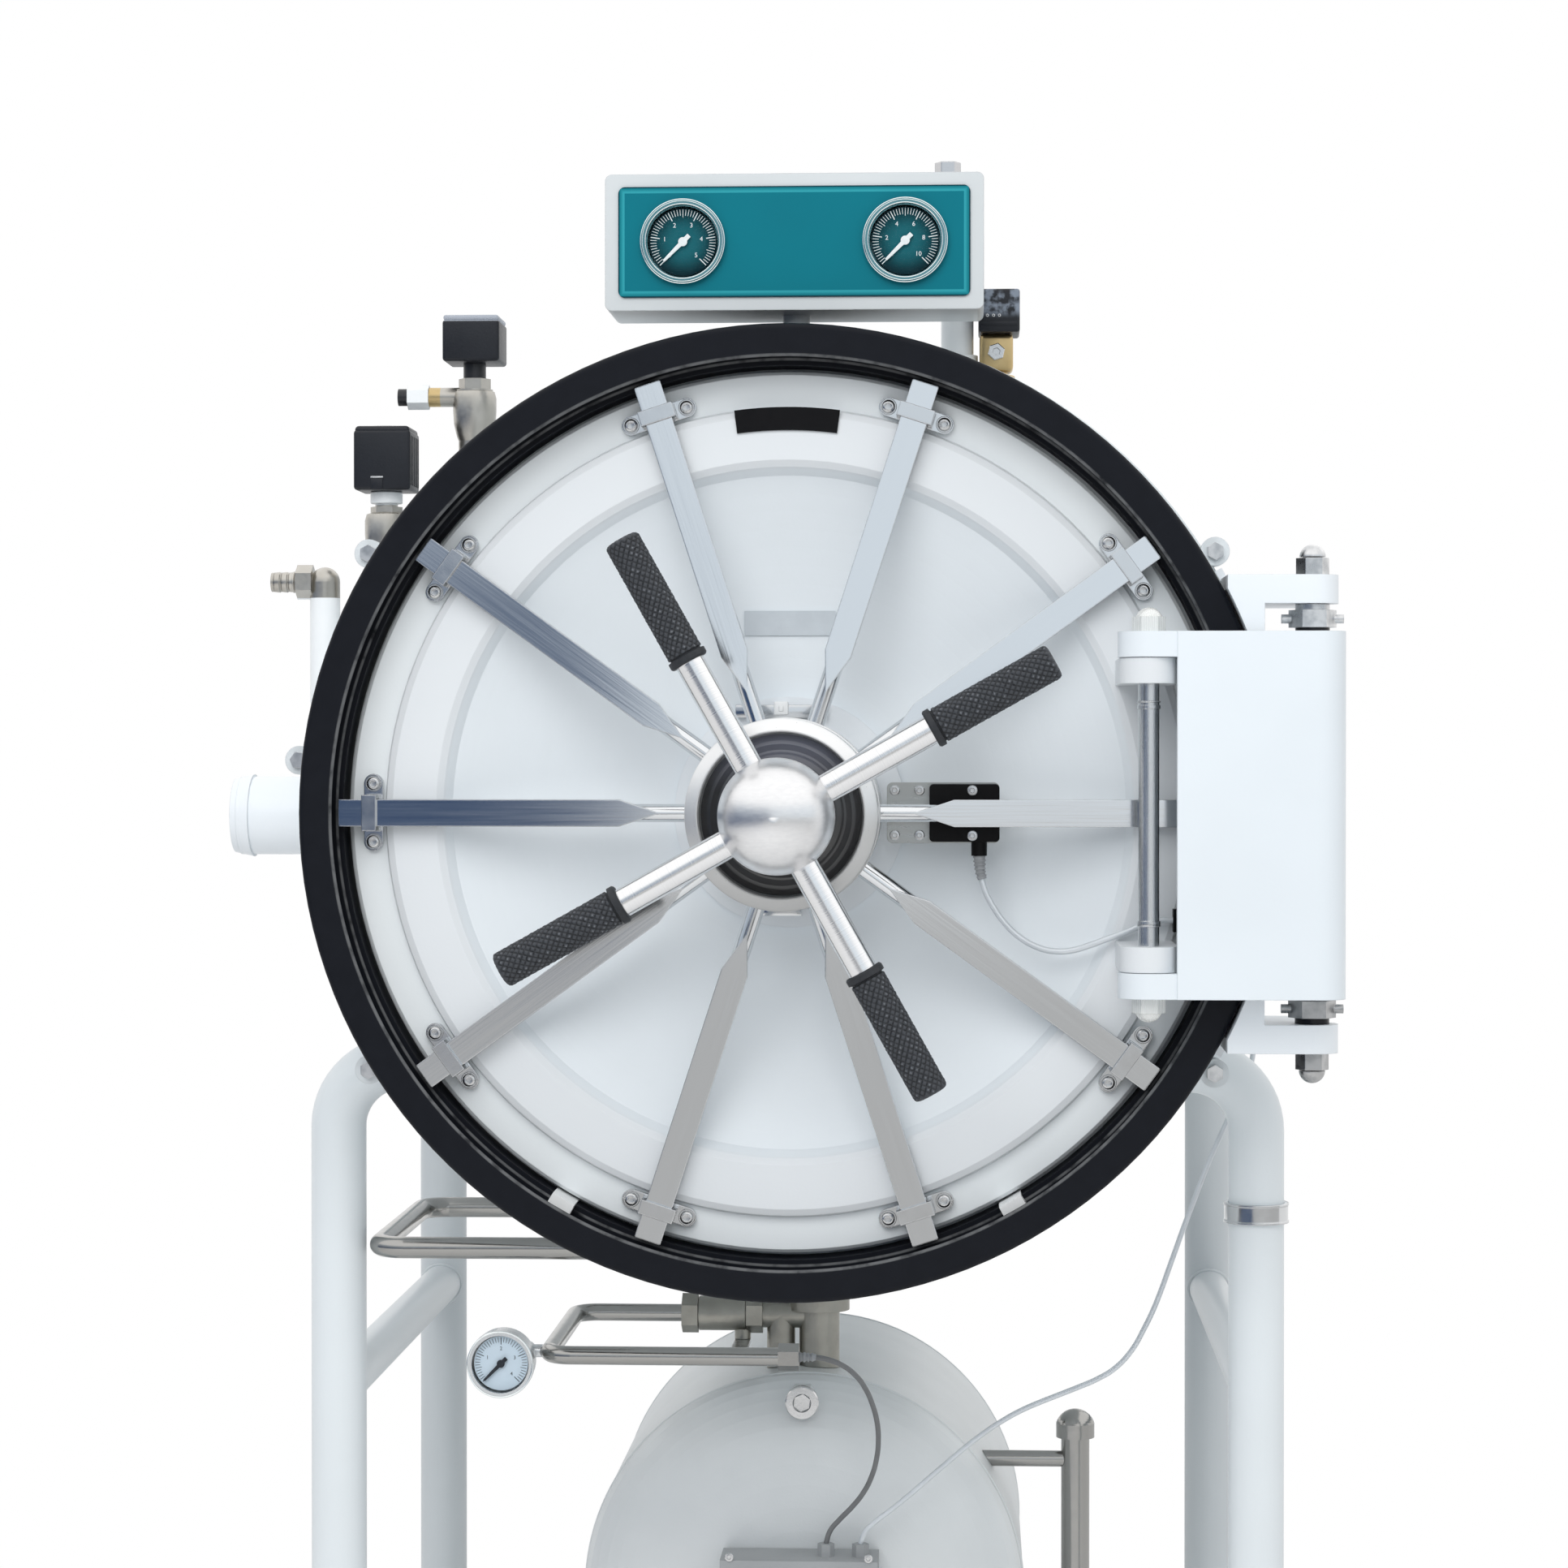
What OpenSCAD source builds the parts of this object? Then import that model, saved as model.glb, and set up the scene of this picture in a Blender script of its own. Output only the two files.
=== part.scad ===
// Horizontal cylindrical steam autoclave with a radial bar door.
// Front view: +X right, +Z up, the door faces -Y. The origin is on the floor, midway between the
// four outer anchor holes. Inside vessel() it is the centre of the locking ring's front face.

/* [Chamber] */
// Height of the chamber axis above the floor
axis_z = 1150; // [1130:1:1250]
// Inside radius of the chamber
chamber_r = 350; // [344:1:352]
// Length of the chamber from the sealing face to the rear seam
chamber_len = 1010; // [960:10:1200]
// Depth of the dished rear head
head_depth = 110; // [90:1:130]
// Thickness of the chamber wall
shell_t = 5; // [4:0.5:6]
// Outside radius of the steam jacket
jacket_r = 389; // [380:1:400]
// Thickness of the jacket wall
jacket_t = 4; // [3:0.5:6]
// Outside radius of the white casing
casing_r = 440; // [438:1:443]
// Thickness of the casing sheet
casing_t = 1.5; // [1:0.5:3]
// Thickness of the chamber's end flange
flange_t = 30; // [24:1:36]

/* [Locking ring] */
// Outer radius of the black locking ring
ring_r = 430; // [428:1:431]
// Depth of the ring in front of the sealing face
ring_depth = 75; // [74:1:78]
// Radial width of the front lip
lip_w = 29.5; // [28:0.5:30]
// Thickness of the front lip
lip_t = 18; // [16:0.5:18.5]
// Extra radius of the lip's bore behind its front edge
lip_relief = 3; // [2.5:0.5:3.5]
// Wall left outside the channel
ring_wall = 9; // [7:0.5:9]
// Clearance between the ring and the door's rim
door_gap = 4.5; // [4:0.5:5]

/* [Door] */
// Thickness of the door's flat rim
rim_t = 20; // [17:1:20]
// Width of the flat rim seen from the front
rim_w = 32; // [30:1:34]
// Width of the raised band inside the rim
band_w = 51; // [45:1:54]
// Height of the raised band above the rim
band_rise = 12; // [8:0.5:12]
// Depth of the hollow centre below the band
dish_depth = 60; // [52:1:62]
// Thickness of the dished sheet
dish_t = 8; // [6:0.5:9]
// Gap between the door and the sealing face while unlocked
seal_gap = 5; // [4.5:0.5:5.5]

/* [Locking bars] */
// Width of a flat bar
bar_w = 24; // [20:0.5:26]
// Thickness of a flat bar
bar_t = 16; // [14:0.5:16]
// Radius of the round inner end of a bar
rod_r = 8; // [7:0.5:8]
// Travel of each bar
bar_travel = 18; // [16:0.5:19]
// Gap between the bar tips and the lip while unlocked
tip_gap = 2.5; // [2.5:0.5:3.5]
// Turn of the handwheel from unlocked to locked
wheel_turn = 60; // [56:1:64]

/* [Handwheel] */
// Radius of the ball hub
ball_r = 49.5; // [45:0.5:52]
// Distance of the ball's centre in front of the ring
ball_out = 145; // [140:1:160]
// Radius of a spoke
spoke_r = 12.5; // [10:0.5:13.5]
// Distance from the axis to a grip's inner end
grip_in = 148; // [130:1:160]
// Length of a grip
grip_len = 118; // [100:1:125]
// Radius of a grip
grip_r = 15.5; // [15:0.5:18]
// Angle of the first spoke above the horizontal
spoke_angle = 29.3; // [0:0.1:89]

/* [Hinge] */
// Distance of the main pivot to the right of the axis
pivot_x = 460; // [460:0.5:464]
// Radius of the main pivot pin
pivot_r = 12; // [10:0.5:14]
// Distance of the door shaft to the right of the axis
shaft_x = 315; // [312:0.5:318]
// Distance of the door shaft in front of the ring
shaft_out = 50; // [49:0.5:53]
// Radius of the door shaft
shaft_r = 9; // [8:0.5:11]
// Height of the swing arm
arm_h = 314; // [306:1:320]

/* [Stand] */
// Distance of the legs from the centre plane
leg_x = 425; // [420:1:430]
// Distance of the front legs behind the ring's front
leg_front_y = 180; // [174:1:190]
// Distance between the front and rear legs
leg_pitch = 680; // [640:1:720]
// Outer radius of the leg tubes
leg_r = 25.5; // [24:0.5:27]
// Wall of the leg tubes
leg_t = 3; // [2:0.5:4]
// Radius of the bend at the top of a leg
leg_bend = 60; // [56:1:64]
// Start of a leg's bend below the chamber axis
bend_drop = 294; // [290:1:298]
// Upper side rails below the chamber axis
rail_drop = 537; // [500:1:560]
// Outer radius of the frame rails
rail_r = 21; // [18:0.5:23]
// Height of the lower rails above the floor
base_rail_z = 120; // [110:1:122]

/* [Steam generator] */
// Outer radius of the generator tank
tank_r = 215; // [208:1:218]
// Length of the tank between its seams
tank_len = 380; // [350:1:400]
// Distance of the tank's front seam behind the ring's front
tank_y = 374; // [370:1:384]
// Tank axis below the chamber axis
tank_drop = 768; // [766:1:770]

/* [Gauge panel] */
// Width of the panel box
panel_w = 336; // [325:1:345]
// Height of the panel box
panel_h = 121; // [116:1:130]
// Depth of the panel box
panel_d = 95; // [85:1:100]
// Outer radius of a panel gauge
gauge_r = 37.5; // [34:0.5:39]
// Distance between the two panel gauges
gauge_pitch = 197; // [185:1:205]

/* [Hidden] */
$fn = 96;
small_fn = 48;

cut = 1;              // overrun of every cutting shape
seat = 0.3;           // gap between a piece and the curved seat that carries it
run_gap = 0.06;       // radial clearance of a running fit
slide_gap = 0.5;      // clearance round a sliding bar
bar_count = 10;

white = [0.93, 0.94, 0.95];
black = [0.08, 0.08, 0.09];
steel = [0.75, 0.76, 0.77];
brass = [0.72, 0.6, 0.35];
teal = [0.07, 0.48, 0.55];

// Depths along Y, measured from the ring's front face
seal_y = ring_depth;
casing_y = seal_y + flange_t;
seam_y = seal_y + chamber_len;
rim_back = seal_y - seal_gap;
rim_front = rim_back - rim_t;
band_front = rim_front - band_rise;
dish_y = band_front + dish_depth;
bar_gap = 2;                               // room in front of and behind a bar
bar_y = lip_t + bar_gap + bar_t / 2;
leg_rear_y = leg_front_y + leg_pitch;
cover_gap = 4;                             // room behind the dished head
cover_t = 3;
cover_y = seam_y + head_depth + shell_t + cover_gap;
cover_inset = 3;                           // rear cover set in from the casing's edge
casing_end = cover_y + cover_t + cover_inset;

// Radii of the ring and the door
lip_r = ring_r - lip_w;
channel_r = ring_r - ring_wall;
rim_relief = 1;
land_r = lip_r - lip_relief - rim_relief;
door_r = land_r - door_gap;
band_r = door_r - rim_w;
dish_r = band_r - band_w;
tip_r = lip_r - tip_gap;
flange_lap = 6;
flange_r = ring_r + flange_lap;

// Heights above the chamber axis
floor_z = -axis_z;
tank_z = -tank_drop;

// The hub on the door
hub_r = 83;
hub_wall = 8;
hub_out = 70;
bezel_in = 71;
bezel_t = 9;
spindle_r = 14;
web_t = 10;
web_in = 24;
web_y = web_in - hub_out;
foot_r = 104;
foot_t = 8;

// The cam that drives the bars
cam_r = 66;
cam_t = 8;
cam_gap = 5;
pin_r = 3;
pin_in = 38;
cam_y = bar_y - rod_r - cam_gap - cam_t;
slot_w = 7.6;
slot_over = 6;
rod_in = pin_in - rod_r;
rod_out = 120;
blade_in = 148;

module vessel() {
    translate([0, -(leg_front_y + leg_rear_y) / 2, axis_z])
        children();
}

module along_y() {
    rotate([-90, 0, 0])
        children();
}

module along_x() {
    rotate([0, 90, 0])
        children();
}

// Children turned round the chamber axis, anticlockwise from the front
module around(angle) {
    rotate([0, -angle, 0])
        children();
}

// A solid turned round the chamber axis from [radius, depth] points
module turned(points) {
    along_y()
        rotate_extrude()
            polygon(points);
}

// A flat front-view outline, from depth y to y + t
module front_plate(y, t) {
    translate([0, y + t, 0])
        rotate([90, 0, 0])
            linear_extrude(t)
                children();
}

// A band round the chamber axis between two angles
module arc_band(r_in, r_out, y_in, y_out, from, to) {
    rotate([90, 0, 0])
        rotate([0, 0, from])
            rotate_extrude(angle = to - from)
                translate([r_in, -y_out])
                    square([r_out - r_in, y_out - y_in]);
}

module ring_section(r, t) {
    difference() {
        circle(r);
        circle(r - t);
    }
}

module tube(r, t, h) {
    linear_extrude(h)
        ring_section(r, t);
}

// A tube bend from the origin towards +Y that turns left
module tube_bend(r, t, bend_r, angle) {
    translate([-bend_r, 0, 0])
        rotate_extrude(angle = angle)
            translate([bend_r, 0])
                ring_section(r, t);
}

// A box centred on X and Z, from depth y to y + size[1]
module front_box(size, y) {
    translate([-size[0] / 2, y, -size[2] / 2])
        cube(size);
}

// A rectangle with rounded corners, centred on the origin
module round_rect(size, r) {
    square([size[0] - 2 * r, size[1]], center = true);
    square([size[0], size[1] - 2 * r], center = true);
    for (sx = [-1, 1], sy = [-1, 1])
        translate([sx * (size[0] / 2 - r), sy * (size[1] / 2 - r)])
            circle(r, $fn = small_fn);
}

module hexagon(across) {
    circle(across / sqrt(3), $fn = 6);
}

module hex(across, h) {
    linear_extrude(h)
        hexagon(across);
}

// A dome of height h on a flat base of radius r
module dome(r, h) {
    big = (r * r + h * h) / (2 * h);
    span = asin(r / big);
    steps = 12;
    rotate_extrude()
        polygon(concat(
            [[0, 0]],
            [for (i = [0:steps]) let (a = span * (1 - i / steps)) [big * sin(a), big * cos(a) - (big - h)]]
        ));
}

// A dished head's curve, from radius r at depth 0 to the axis at depth h
function head_curve(r, h, steps) = [
    for (i = [0:steps]) let (a = 90 * i / steps) [r * cos(a), h * sin(a)]
];

function lift(points, d) = [for (p = points) [p[0], p[1] + d]];
function back_to_front(points) = [for (i = [len(points) - 1:-1:0]) points[i]];

// CHAMBER AND ITS SHELLS

port_y = 300;
port_z = -7;
port_r = 37.5;
port_t = 3;
port_out = 545;
port_hole = port_r + seat;
drain_x = 13;
drain_y = 422;
drain_r = 20;

// The holes that the side port and the drain pass through
module port_holes() {
    translate([0, port_y, port_z])
        rotate([0, -90, 0])
            cylinder(r = port_hole, h = casing_r + cut);
    translate([drain_x, drain_y, -casing_r - cut])
        cylinder(r = drain_r + seat, h = casing_r);
}

module chamber_shell() {
    outer = head_curve(chamber_r + shell_t, head_depth + shell_t, 16);
    inner = head_curve(chamber_r, head_depth, 16);
    color(steel)
        vessel()
            difference() {
                turned(concat(
                    [[chamber_r, casing_y], [chamber_r + shell_t, casing_y]],
                    lift(outer, seam_y),
                    lift(back_to_front(inner), seam_y)
                ));
                port_holes();
            }
}

module jacket_shell() {
    inside = chamber_r + shell_t + seat;
    back = seam_y - shell_t;
    color(steel)
        vessel()
            difference() {
                turned([
                    [inside, casing_y + seat], [jacket_r, casing_y + seat], [jacket_r, back],
                    [inside, back], [inside, back - jacket_t], [jacket_r - jacket_t, back - jacket_t],
                    [jacket_r - jacket_t, casing_y + seat + jacket_t], [inside, casing_y + seat + jacket_t]
                ]);
                port_holes();
            }
}

module insulation() {
    outside = casing_r - casing_t - seat;
    shell = chamber_r + shell_t + seat;
    outer = head_curve(shell, head_depth + shell_t + seat, 16);
    color([0.85, 0.8, 0.6])
        vessel()
            difference() {
                turned(concat(
                    [[jacket_r + seat, casing_y + seat], [outside, casing_y + seat], [outside, cover_y - seat]],
                    [[0, cover_y - seat]],
                    lift(back_to_front(outer), seam_y),
                    [[shell, seam_y - shell_t + seat], [jacket_r + seat, seam_y - shell_t + seat]]
                ));
                port_holes();
            }
}

module outer_casing() {
    color(white)
        vessel()
            difference() {
                turned([
                    [casing_r - casing_t, casing_y], [casing_r, casing_y],
                    [casing_r, casing_end], [casing_r - casing_t, casing_end]
                ]);
                port_holes();
            }
}

module rear_cover() {
    edge = casing_r - casing_t - seat;
    color(white)
        vessel()
            turned([
                [0, cover_y], [edge, cover_y], [edge, casing_end], [edge - cover_t, casing_end],
                [edge - cover_t, cover_y + cover_t], [0, cover_y + cover_t]
            ]);
}

lug_angles = [31.5, -31.5, 148.5, 211.5, 174];
lug_r = 13;
lug_t = 18;
lug_y = seal_y + (flange_t - lug_t) / 2;
lug_out = 16;
lug_place = ring_r + lug_out;
lug_bolt_r = 7;
groove_in = 364;
groove_out = 376;
groove_deep = 8;
gasket_proud = 2;

module end_flange() {
    color(white)
        vessel()
            difference() {
                union() {
                    turned([[chamber_r, seal_y], [flange_r, seal_y], [flange_r, casing_y], [chamber_r, casing_y]]);
                    for (a = lug_angles)
                        around(a)
                            translate([lug_place, lug_y, 0])
                                along_y()
                                    cylinder(r = lug_r, h = lug_t, $fn = small_fn);
                }
                turned([
                    [groove_in, seal_y - cut], [groove_out, seal_y - cut],
                    [groove_out, seal_y + groove_deep], [groove_in, seal_y + groove_deep]
                ]);
            }
}

module flange_bolts() {
    head_t = 5;
    color(steel)
        vessel()
            for (a = lug_angles)
                around(a)
                    translate([lug_place, lug_y - head_t, 0])
                        along_y()
                            hex(2 * lug_bolt_r, head_t);
}

module locking_ring() {
    edge = 2.5;
    round_r = 5;
    corner = [for (i = [0:6]) let (a = 15 * i)
        [ring_r - round_r + round_r * sin(a), round_r - round_r * cos(a)]];
    color(black)
        vessel()
            turned(concat(
                [[lip_r, edge], [lip_r + edge, 0]],
                corner,
                [
                    [ring_r, seal_y], [land_r, seal_y], [land_r, bar_y + bar_t / 2 + bar_gap],
                    [channel_r, bar_y + bar_t / 2 + bar_gap], [channel_r, lip_t], [lip_r + lip_relief, lip_t]
                ]
            ));
}

module door_gasket() {
    color([0.85, 0.85, 0.82])
        vessel()
            turned([
                [groove_in + seat, seal_y - gasket_proud + seat], [groove_in + gasket_proud, seal_y - gasket_proud],
                [groove_out - gasket_proud, seal_y - gasket_proud],
                [groove_out - seat, seal_y - gasket_proud + seat], [groove_out - seat, seal_y + groove_deep - seat],
                [groove_in + seat, seal_y + groove_deep - seat]
            ]);
}

module door_rest_pads() {
    pad_angle = 30;
    half = 1.6;
    pad_share = 0.55;
    pad_in = door_r + door_gap * pad_share;
    pad_lip = land_r + 2 * door_gap;
    front_y = lip_t + 2 * bar_gap;
    step_y = bar_y + bar_t / 2 + bar_gap - seat;
    color(white)
        vessel()
            for (a = [-90 - pad_angle, -90 + pad_angle]) {
                arc_band(pad_in, land_r - seat, front_y, rim_back - bar_gap, a - half, a + half);
                arc_band(pad_in, pad_lip, front_y, step_y, a - half, a + half);
            }
}

module tray_rails() {
    rail_x = 180;
    rail_t = 4;
    rail_leg = 30;
    low = -sqrt(pow(chamber_r - seat, 2) - pow(rail_x + rail_t, 2));
    color(steel)
        vessel()
            for (side = [-1, 1])
                scale([side, 1, 1])
                    translate([rail_x, casing_y, low]) {
                        cube([rail_t, chamber_len - 2 * flange_t, rail_leg]);
                        translate([-rail_leg, 0, rail_leg - rail_t])
                            cube([rail_leg, chamber_len - 2 * flange_t, rail_t]);
                    }
}

// HINGE

pivot_y = 10;
boss_r = 27.5;
prong_t = 22;
prong_r = 26.5;
arm_front = -78;
arm_skin = 12;
arm_left = 338;
ear_t = 25;
nut_gap = 26;
ear_z = arm_h / 2 + nut_gap;
ear_left = 385;
ear_front = -13;
ear_right = 22.5;
saddle_t = 7;
nut_across = 36;
cap_across = 25;

module hinge_bracket() {
    saddle_span = 29.5;
    saddle_in = seal_y + bar_gap;
    web_x = 417;
    web_h = nut_gap - 1.5;
    web_y = pivot_y - ear_right;
    color(white)
        vessel()
            difference() {
                union() {
                    arc_band(flange_r + seat, flange_r + saddle_t, saddle_in, casing_y, -saddle_span, saddle_span);
                    for (side = [0, 1])
                        mirror([0, 0, side])
                            translate([0, 0, ear_z]) {
                                linear_extrude(ear_t) {
                                    translate([pivot_x, pivot_y])
                                        circle(ear_right);
                                    translate([ear_left, web_y])
                                        square([pivot_x - ear_left, casing_y - web_y]);
                                }
                                translate([ear_left, web_y, -web_h])
                                    cube([web_x - ear_left, casing_y - web_y, web_h]);
                            }
                }
                translate([pivot_x, pivot_y, -ear_z - ear_t - cut])
                    cylinder(r = pivot_r + run_gap, h = 2 * (ear_z + ear_t + cut));
                turned([[0, -shaft_out], [ring_r + bar_gap, -shaft_out], [ring_r + bar_gap, seal_y - bar_gap],
                    [flange_r + seat, seal_y - bar_gap], [flange_r + seat, casing_y + cut], [0, casing_y + cut]]);
            }
}

module main_pivot() {
    cap_t = 15;
    cap_dome = 12;
    peg_r = 4;
    peg_out = 27;
    collar_r = 15;
    pin_end = ear_z + ear_t;
    nut_t = ear_z - arm_h / 2 - 2 * seat;
    color(steel)
        vessel()
            translate([pivot_x, pivot_y, 0]) {
                translate([0, 0, -pin_end])
                    cylinder(r = pivot_r, h = 2 * pin_end);
                for (side = [0, 1])
                    mirror([0, 0, side]) {
                        translate([0, 0, pin_end]) {
                            hex(cap_across, cap_t);
                            translate([0, 0, cap_t])
                                dome(cap_across / 2 - cut, cap_dome);
                        }
                        translate([0, 0, arm_h / 2 + seat]) {
                            cylinder(r = collar_r, h = nut_t);
                            translate([0, 0, nut_t / 5])
                                hex(nut_across, nut_t * 3 / 5);
                            translate([-peg_out, 0, nut_t / 2])
                                along_x()
                                    cylinder(r = peg_r, h = 2 * peg_out, $fn = small_fn);
                        }
                    }
            }
}

module swing_arm() {
    corner = 24;
    right = ear_right;
    color(white)
        vessel()
            difference() {
                union() {
                    // plates from the door shaft to the pivot boss
                    for (z = [-arm_h / 2, arm_h / 2 - prong_t])
                        translate([0, 0, z])
                            linear_extrude(prong_t) {
                                translate([shaft_x, -shaft_out])
                                    circle(prong_r);
                                translate([shaft_x, -shaft_out - prong_r])
                                    square([pivot_x - shaft_x, 2 * prong_r]);
                                translate([pivot_x - boss_r, arm_front + corner])
                                    square([boss_r + right, pivot_y - arm_front - corner]);
                            }
                    // front cover and side wall
                    translate([0, 0, -arm_h / 2])
                        linear_extrude(arm_h) {
                            translate([arm_left, arm_front])
                                square([pivot_x + right - corner - arm_left, arm_skin]);
                            translate([pivot_x + right - corner, arm_front + corner])
                                intersection() {
                                    ring_section(corner, arm_skin);
                                    translate([0, -corner])
                                        square(corner);
                                }
                            translate([pivot_x + right - arm_skin, arm_front + corner])
                                square([arm_skin, pivot_y - arm_front - corner]);
                        }
                    translate([pivot_x, pivot_y, -arm_h / 2])
                        cylinder(r = boss_r, h = arm_h);
                }
                translate([pivot_x, pivot_y, -arm_h / 2 - cut])
                    cylinder(r = pivot_r + run_gap, h = arm_h + 2 * cut);
                translate([shaft_x, -shaft_out, -arm_h / 2 - cut])
                    cylinder(r = shaft_r + run_gap / 2, h = arm_h + 2 * cut);
            }
}

module door_shaft() {
    cap_t = 13;
    cap_dome = 8;
    ring_t = 3;
    groove_z = arm_h / 2 - 3 * prong_t;
    color(steel)
        vessel()
            translate([shaft_x, -shaft_out, 0]) {
                translate([0, 0, -arm_h / 2])
                    cylinder(r = shaft_r, h = arm_h);
                for (side = [0, 1])
                    mirror([0, 0, side]) {
                        translate([0, 0, arm_h / 2]) {
                            hex(cap_across, cap_t);
                            translate([0, 0, cap_t])
                                dome(cap_across / 2 - cut, cap_dome);
                        }
                        translate([0, 0, groove_z])
                            cylinder(r = shaft_r + cut, h = ring_t);
                    }
            }
}

// DOOR

knuckle_r = 25;
knuckle_t = 22;
flat_r = foot_r + cut;
bowl_in = 9;
bowl_back = 14;
bowl_edge = dish_r - bowl_in;
bowl_y = band_front + bowl_back;
bowl_dr = bowl_edge - flat_r;
bowl_dy = dish_y - bowl_y;
bowl_r = (bowl_dr * bowl_dr + bowl_dy * bowl_dy) / (2 * bowl_dy);

// The bowl's curve, from its edge to the flat centre, moved back by d
function bowl(d) = [
    for (i = [12:-1:0])
        let (a = asin(bowl_dr / bowl_r) * i / 12)
            [flat_r + bowl_r * sin(a), dish_y + d - bowl_r * (1 - cos(a))]
];

module door_plate() {
    edge_r = 4;
    chamfer = 3;
    knuckle_z = arm_h / 2 - prong_t - 1.5 * seat - knuckle_t;
    lug_x = 2 * knuckle_r;
    lug_to = rim_front - bar_gap;
    color(white)
        vessel() {
            difference() {
                union() {
                    turned(concat(
                        [[0, dish_y]],
                        back_to_front(bowl(0)),
                        [
                            [dish_r - edge_r / 2, band_front + edge_r], [dish_r + edge_r, band_front],
                            [band_r - 2 * edge_r, band_front + edge_r / 4], [band_r - edge_r / 2, band_front + edge_r],
                            [band_r, rim_front], [door_r - chamfer, rim_front],
                            [door_r, rim_front + chamfer], [door_r, rim_back],
                            [chamber_r - 4 * edge_r, rim_back], [dish_r + edge_r, bowl_y + dish_t]
                        ],
                        bowl(dish_t),
                        [[0, dish_y + dish_t]]
                    ));
                    for (side = [0, 1])
                        mirror([0, 0, side])
                            translate([0, 0, knuckle_z])
                                linear_extrude(knuckle_t) {
                                    translate([shaft_x, -shaft_out])
                                        circle(knuckle_r);
                                    translate([shaft_x - knuckle_r, -shaft_out])
                                        square([lug_x, shaft_out + lug_to]);
                                }
                }
                translate([shaft_x, -shaft_out, -arm_h / 2])
                    cylinder(r = shaft_r + run_gap, h = arm_h);
                // bearing for the spindle's rear end
                translate([0, dish_y - cut, 0])
                    along_y()
                        cylinder(r = spindle_r / 2 + run_gap, h = dish_t + 2 * cut);
            }
        }
}

module hub_housing() {
    color(steel)
        vessel()
            difference() {
                turned([
                    [bezel_in, -hub_out], [hub_r, -hub_out], [hub_r, dish_y - foot_t], [foot_r, dish_y - foot_t],
                    [foot_r, dish_y], [hub_r - hub_wall, dish_y],
                    [hub_r - hub_wall, web_y + web_t], [spindle_r + run_gap, web_y + web_t],
                    [spindle_r + run_gap, web_y], [hub_r - hub_wall, web_y],
                    [hub_r - hub_wall, -hub_out + bezel_t], [bezel_in, -hub_out + bezel_t]
                ]);
                for (i = [0:bar_count - 1])
                    around(i * 360 / bar_count)
                        translate([hub_r - hub_wall - cut, bar_y, 0])
                            along_x()
                                cylinder(r = rod_r + slide_gap, h = hub_wall + 2 * cut);
            }
}

// GUIDES AND BARS

guide_place = 370;
guide_len = 13;
guide_wall = 3.5;
ear_half = 26;
guide_ear_r = 8.5;
guide_ear_t = 6;
screw_head_r = 7;

module bar_guides() {
    top_y = bar_y - bar_t / 2 - slide_gap - guide_wall;
    half_w = bar_w / 2 + slide_gap + guide_wall;
    color(steel)
        vessel()
            for (i = [0:bar_count - 1])
                around(i * 360 / bar_count)
                    difference() {
                        union() {
                            translate([guide_place - guide_len / 2, top_y, -half_w])
                                cube([guide_len, rim_front - top_y, 2 * half_w]);
                            front_plate(rim_front - guide_ear_t, guide_ear_t) {
                                translate([guide_place - guide_ear_r, -ear_half])
                                    square([2 * guide_ear_r, 2 * ear_half]);
                                for (side = [-1, 1])
                                    translate([guide_place, side * ear_half])
                                        circle(guide_ear_r, $fn = small_fn);
                            }
                        }
                        translate([guide_place - guide_len, bar_y - bar_t / 2 - slide_gap, -bar_w / 2 - slide_gap])
                            cube([2 * guide_len, bar_t + 2 * slide_gap, bar_w + 2 * slide_gap]);
                    }
}

module guide_screws() {
    head_t = 5;
    socket_r = 3;
    color(steel)
        vessel()
            for (i = [0:bar_count - 1], side = [-1, 1])
                around(i * 360 / bar_count)
                    translate([guide_place, rim_front - guide_ear_t - head_t, side * ear_half])
                        along_y()
                            difference() {
                                cylinder(r = screw_head_r, h = head_t, $fn = small_fn);
                                translate([0, 0, -cut])
                                    hex(2 * socket_r, cut + head_t / 2);
                            }
}

// A locking bar: flat blade, round rod, and a cam pin at its inner end
module locking_bar(i) {
    pin_front = cam_y - cut;
    color(steel)
        vessel()
            around(i * 360 / bar_count) {
                translate([rod_in, bar_y, 0])
                    along_x()
                        cylinder(r = rod_r, h = blade_in - rod_in, $fn = small_fn);
                front_plate(bar_y - bar_t / 2, bar_t)
                    polygon([
                        [rod_out - rod_r, 0], [blade_in, -bar_w / 2], [tip_r - cut, -bar_w / 2],
                        [tip_r, -bar_w / 2 + cut], [tip_r, bar_w / 2 - cut], [tip_r - cut, bar_w / 2],
                        [blade_in, bar_w / 2]
                    ]);
                translate([pin_in, pin_front, 0])
                    along_y()
                        cylinder(r = pin_r, h = bar_y - pin_front, $fn = small_fn);
            }
}

module bar_01() { locking_bar(0); }
module bar_02() { locking_bar(1); }
module bar_03() { locking_bar(2); }
module bar_04() { locking_bar(3); }
module bar_05() { locking_bar(4); }
module bar_06() { locking_bar(5); }
module bar_07() { locking_bar(6); }
module bar_08() { locking_bar(7); }
module bar_09() { locking_bar(8); }
module bar_10() { locking_bar(9); }

// HANDWHEEL AND CAM

ball_y = -ball_out;
neck_r = 24;
key_gap = 0.05;

// A spiral slot, anticlockwise as its radius grows
module cam_slot(from) {
    steps = 24;
    rate = bar_travel / wheel_turn;
    turn = wheel_turn + 2 * slot_over;
    angles = [for (i = [0:steps]) -slot_over + turn * i / steps];
    outer = [for (a = angles) let (r = pin_in + a * rate + slot_w / 2) [r * cos(from + a), r * sin(from + a)]];
    inner = [for (a = angles) let (r = pin_in + a * rate - slot_w / 2) [r * cos(from + a), r * sin(from + a)]];
    polygon(concat(outer, back_to_front(inner)));
}

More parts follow.
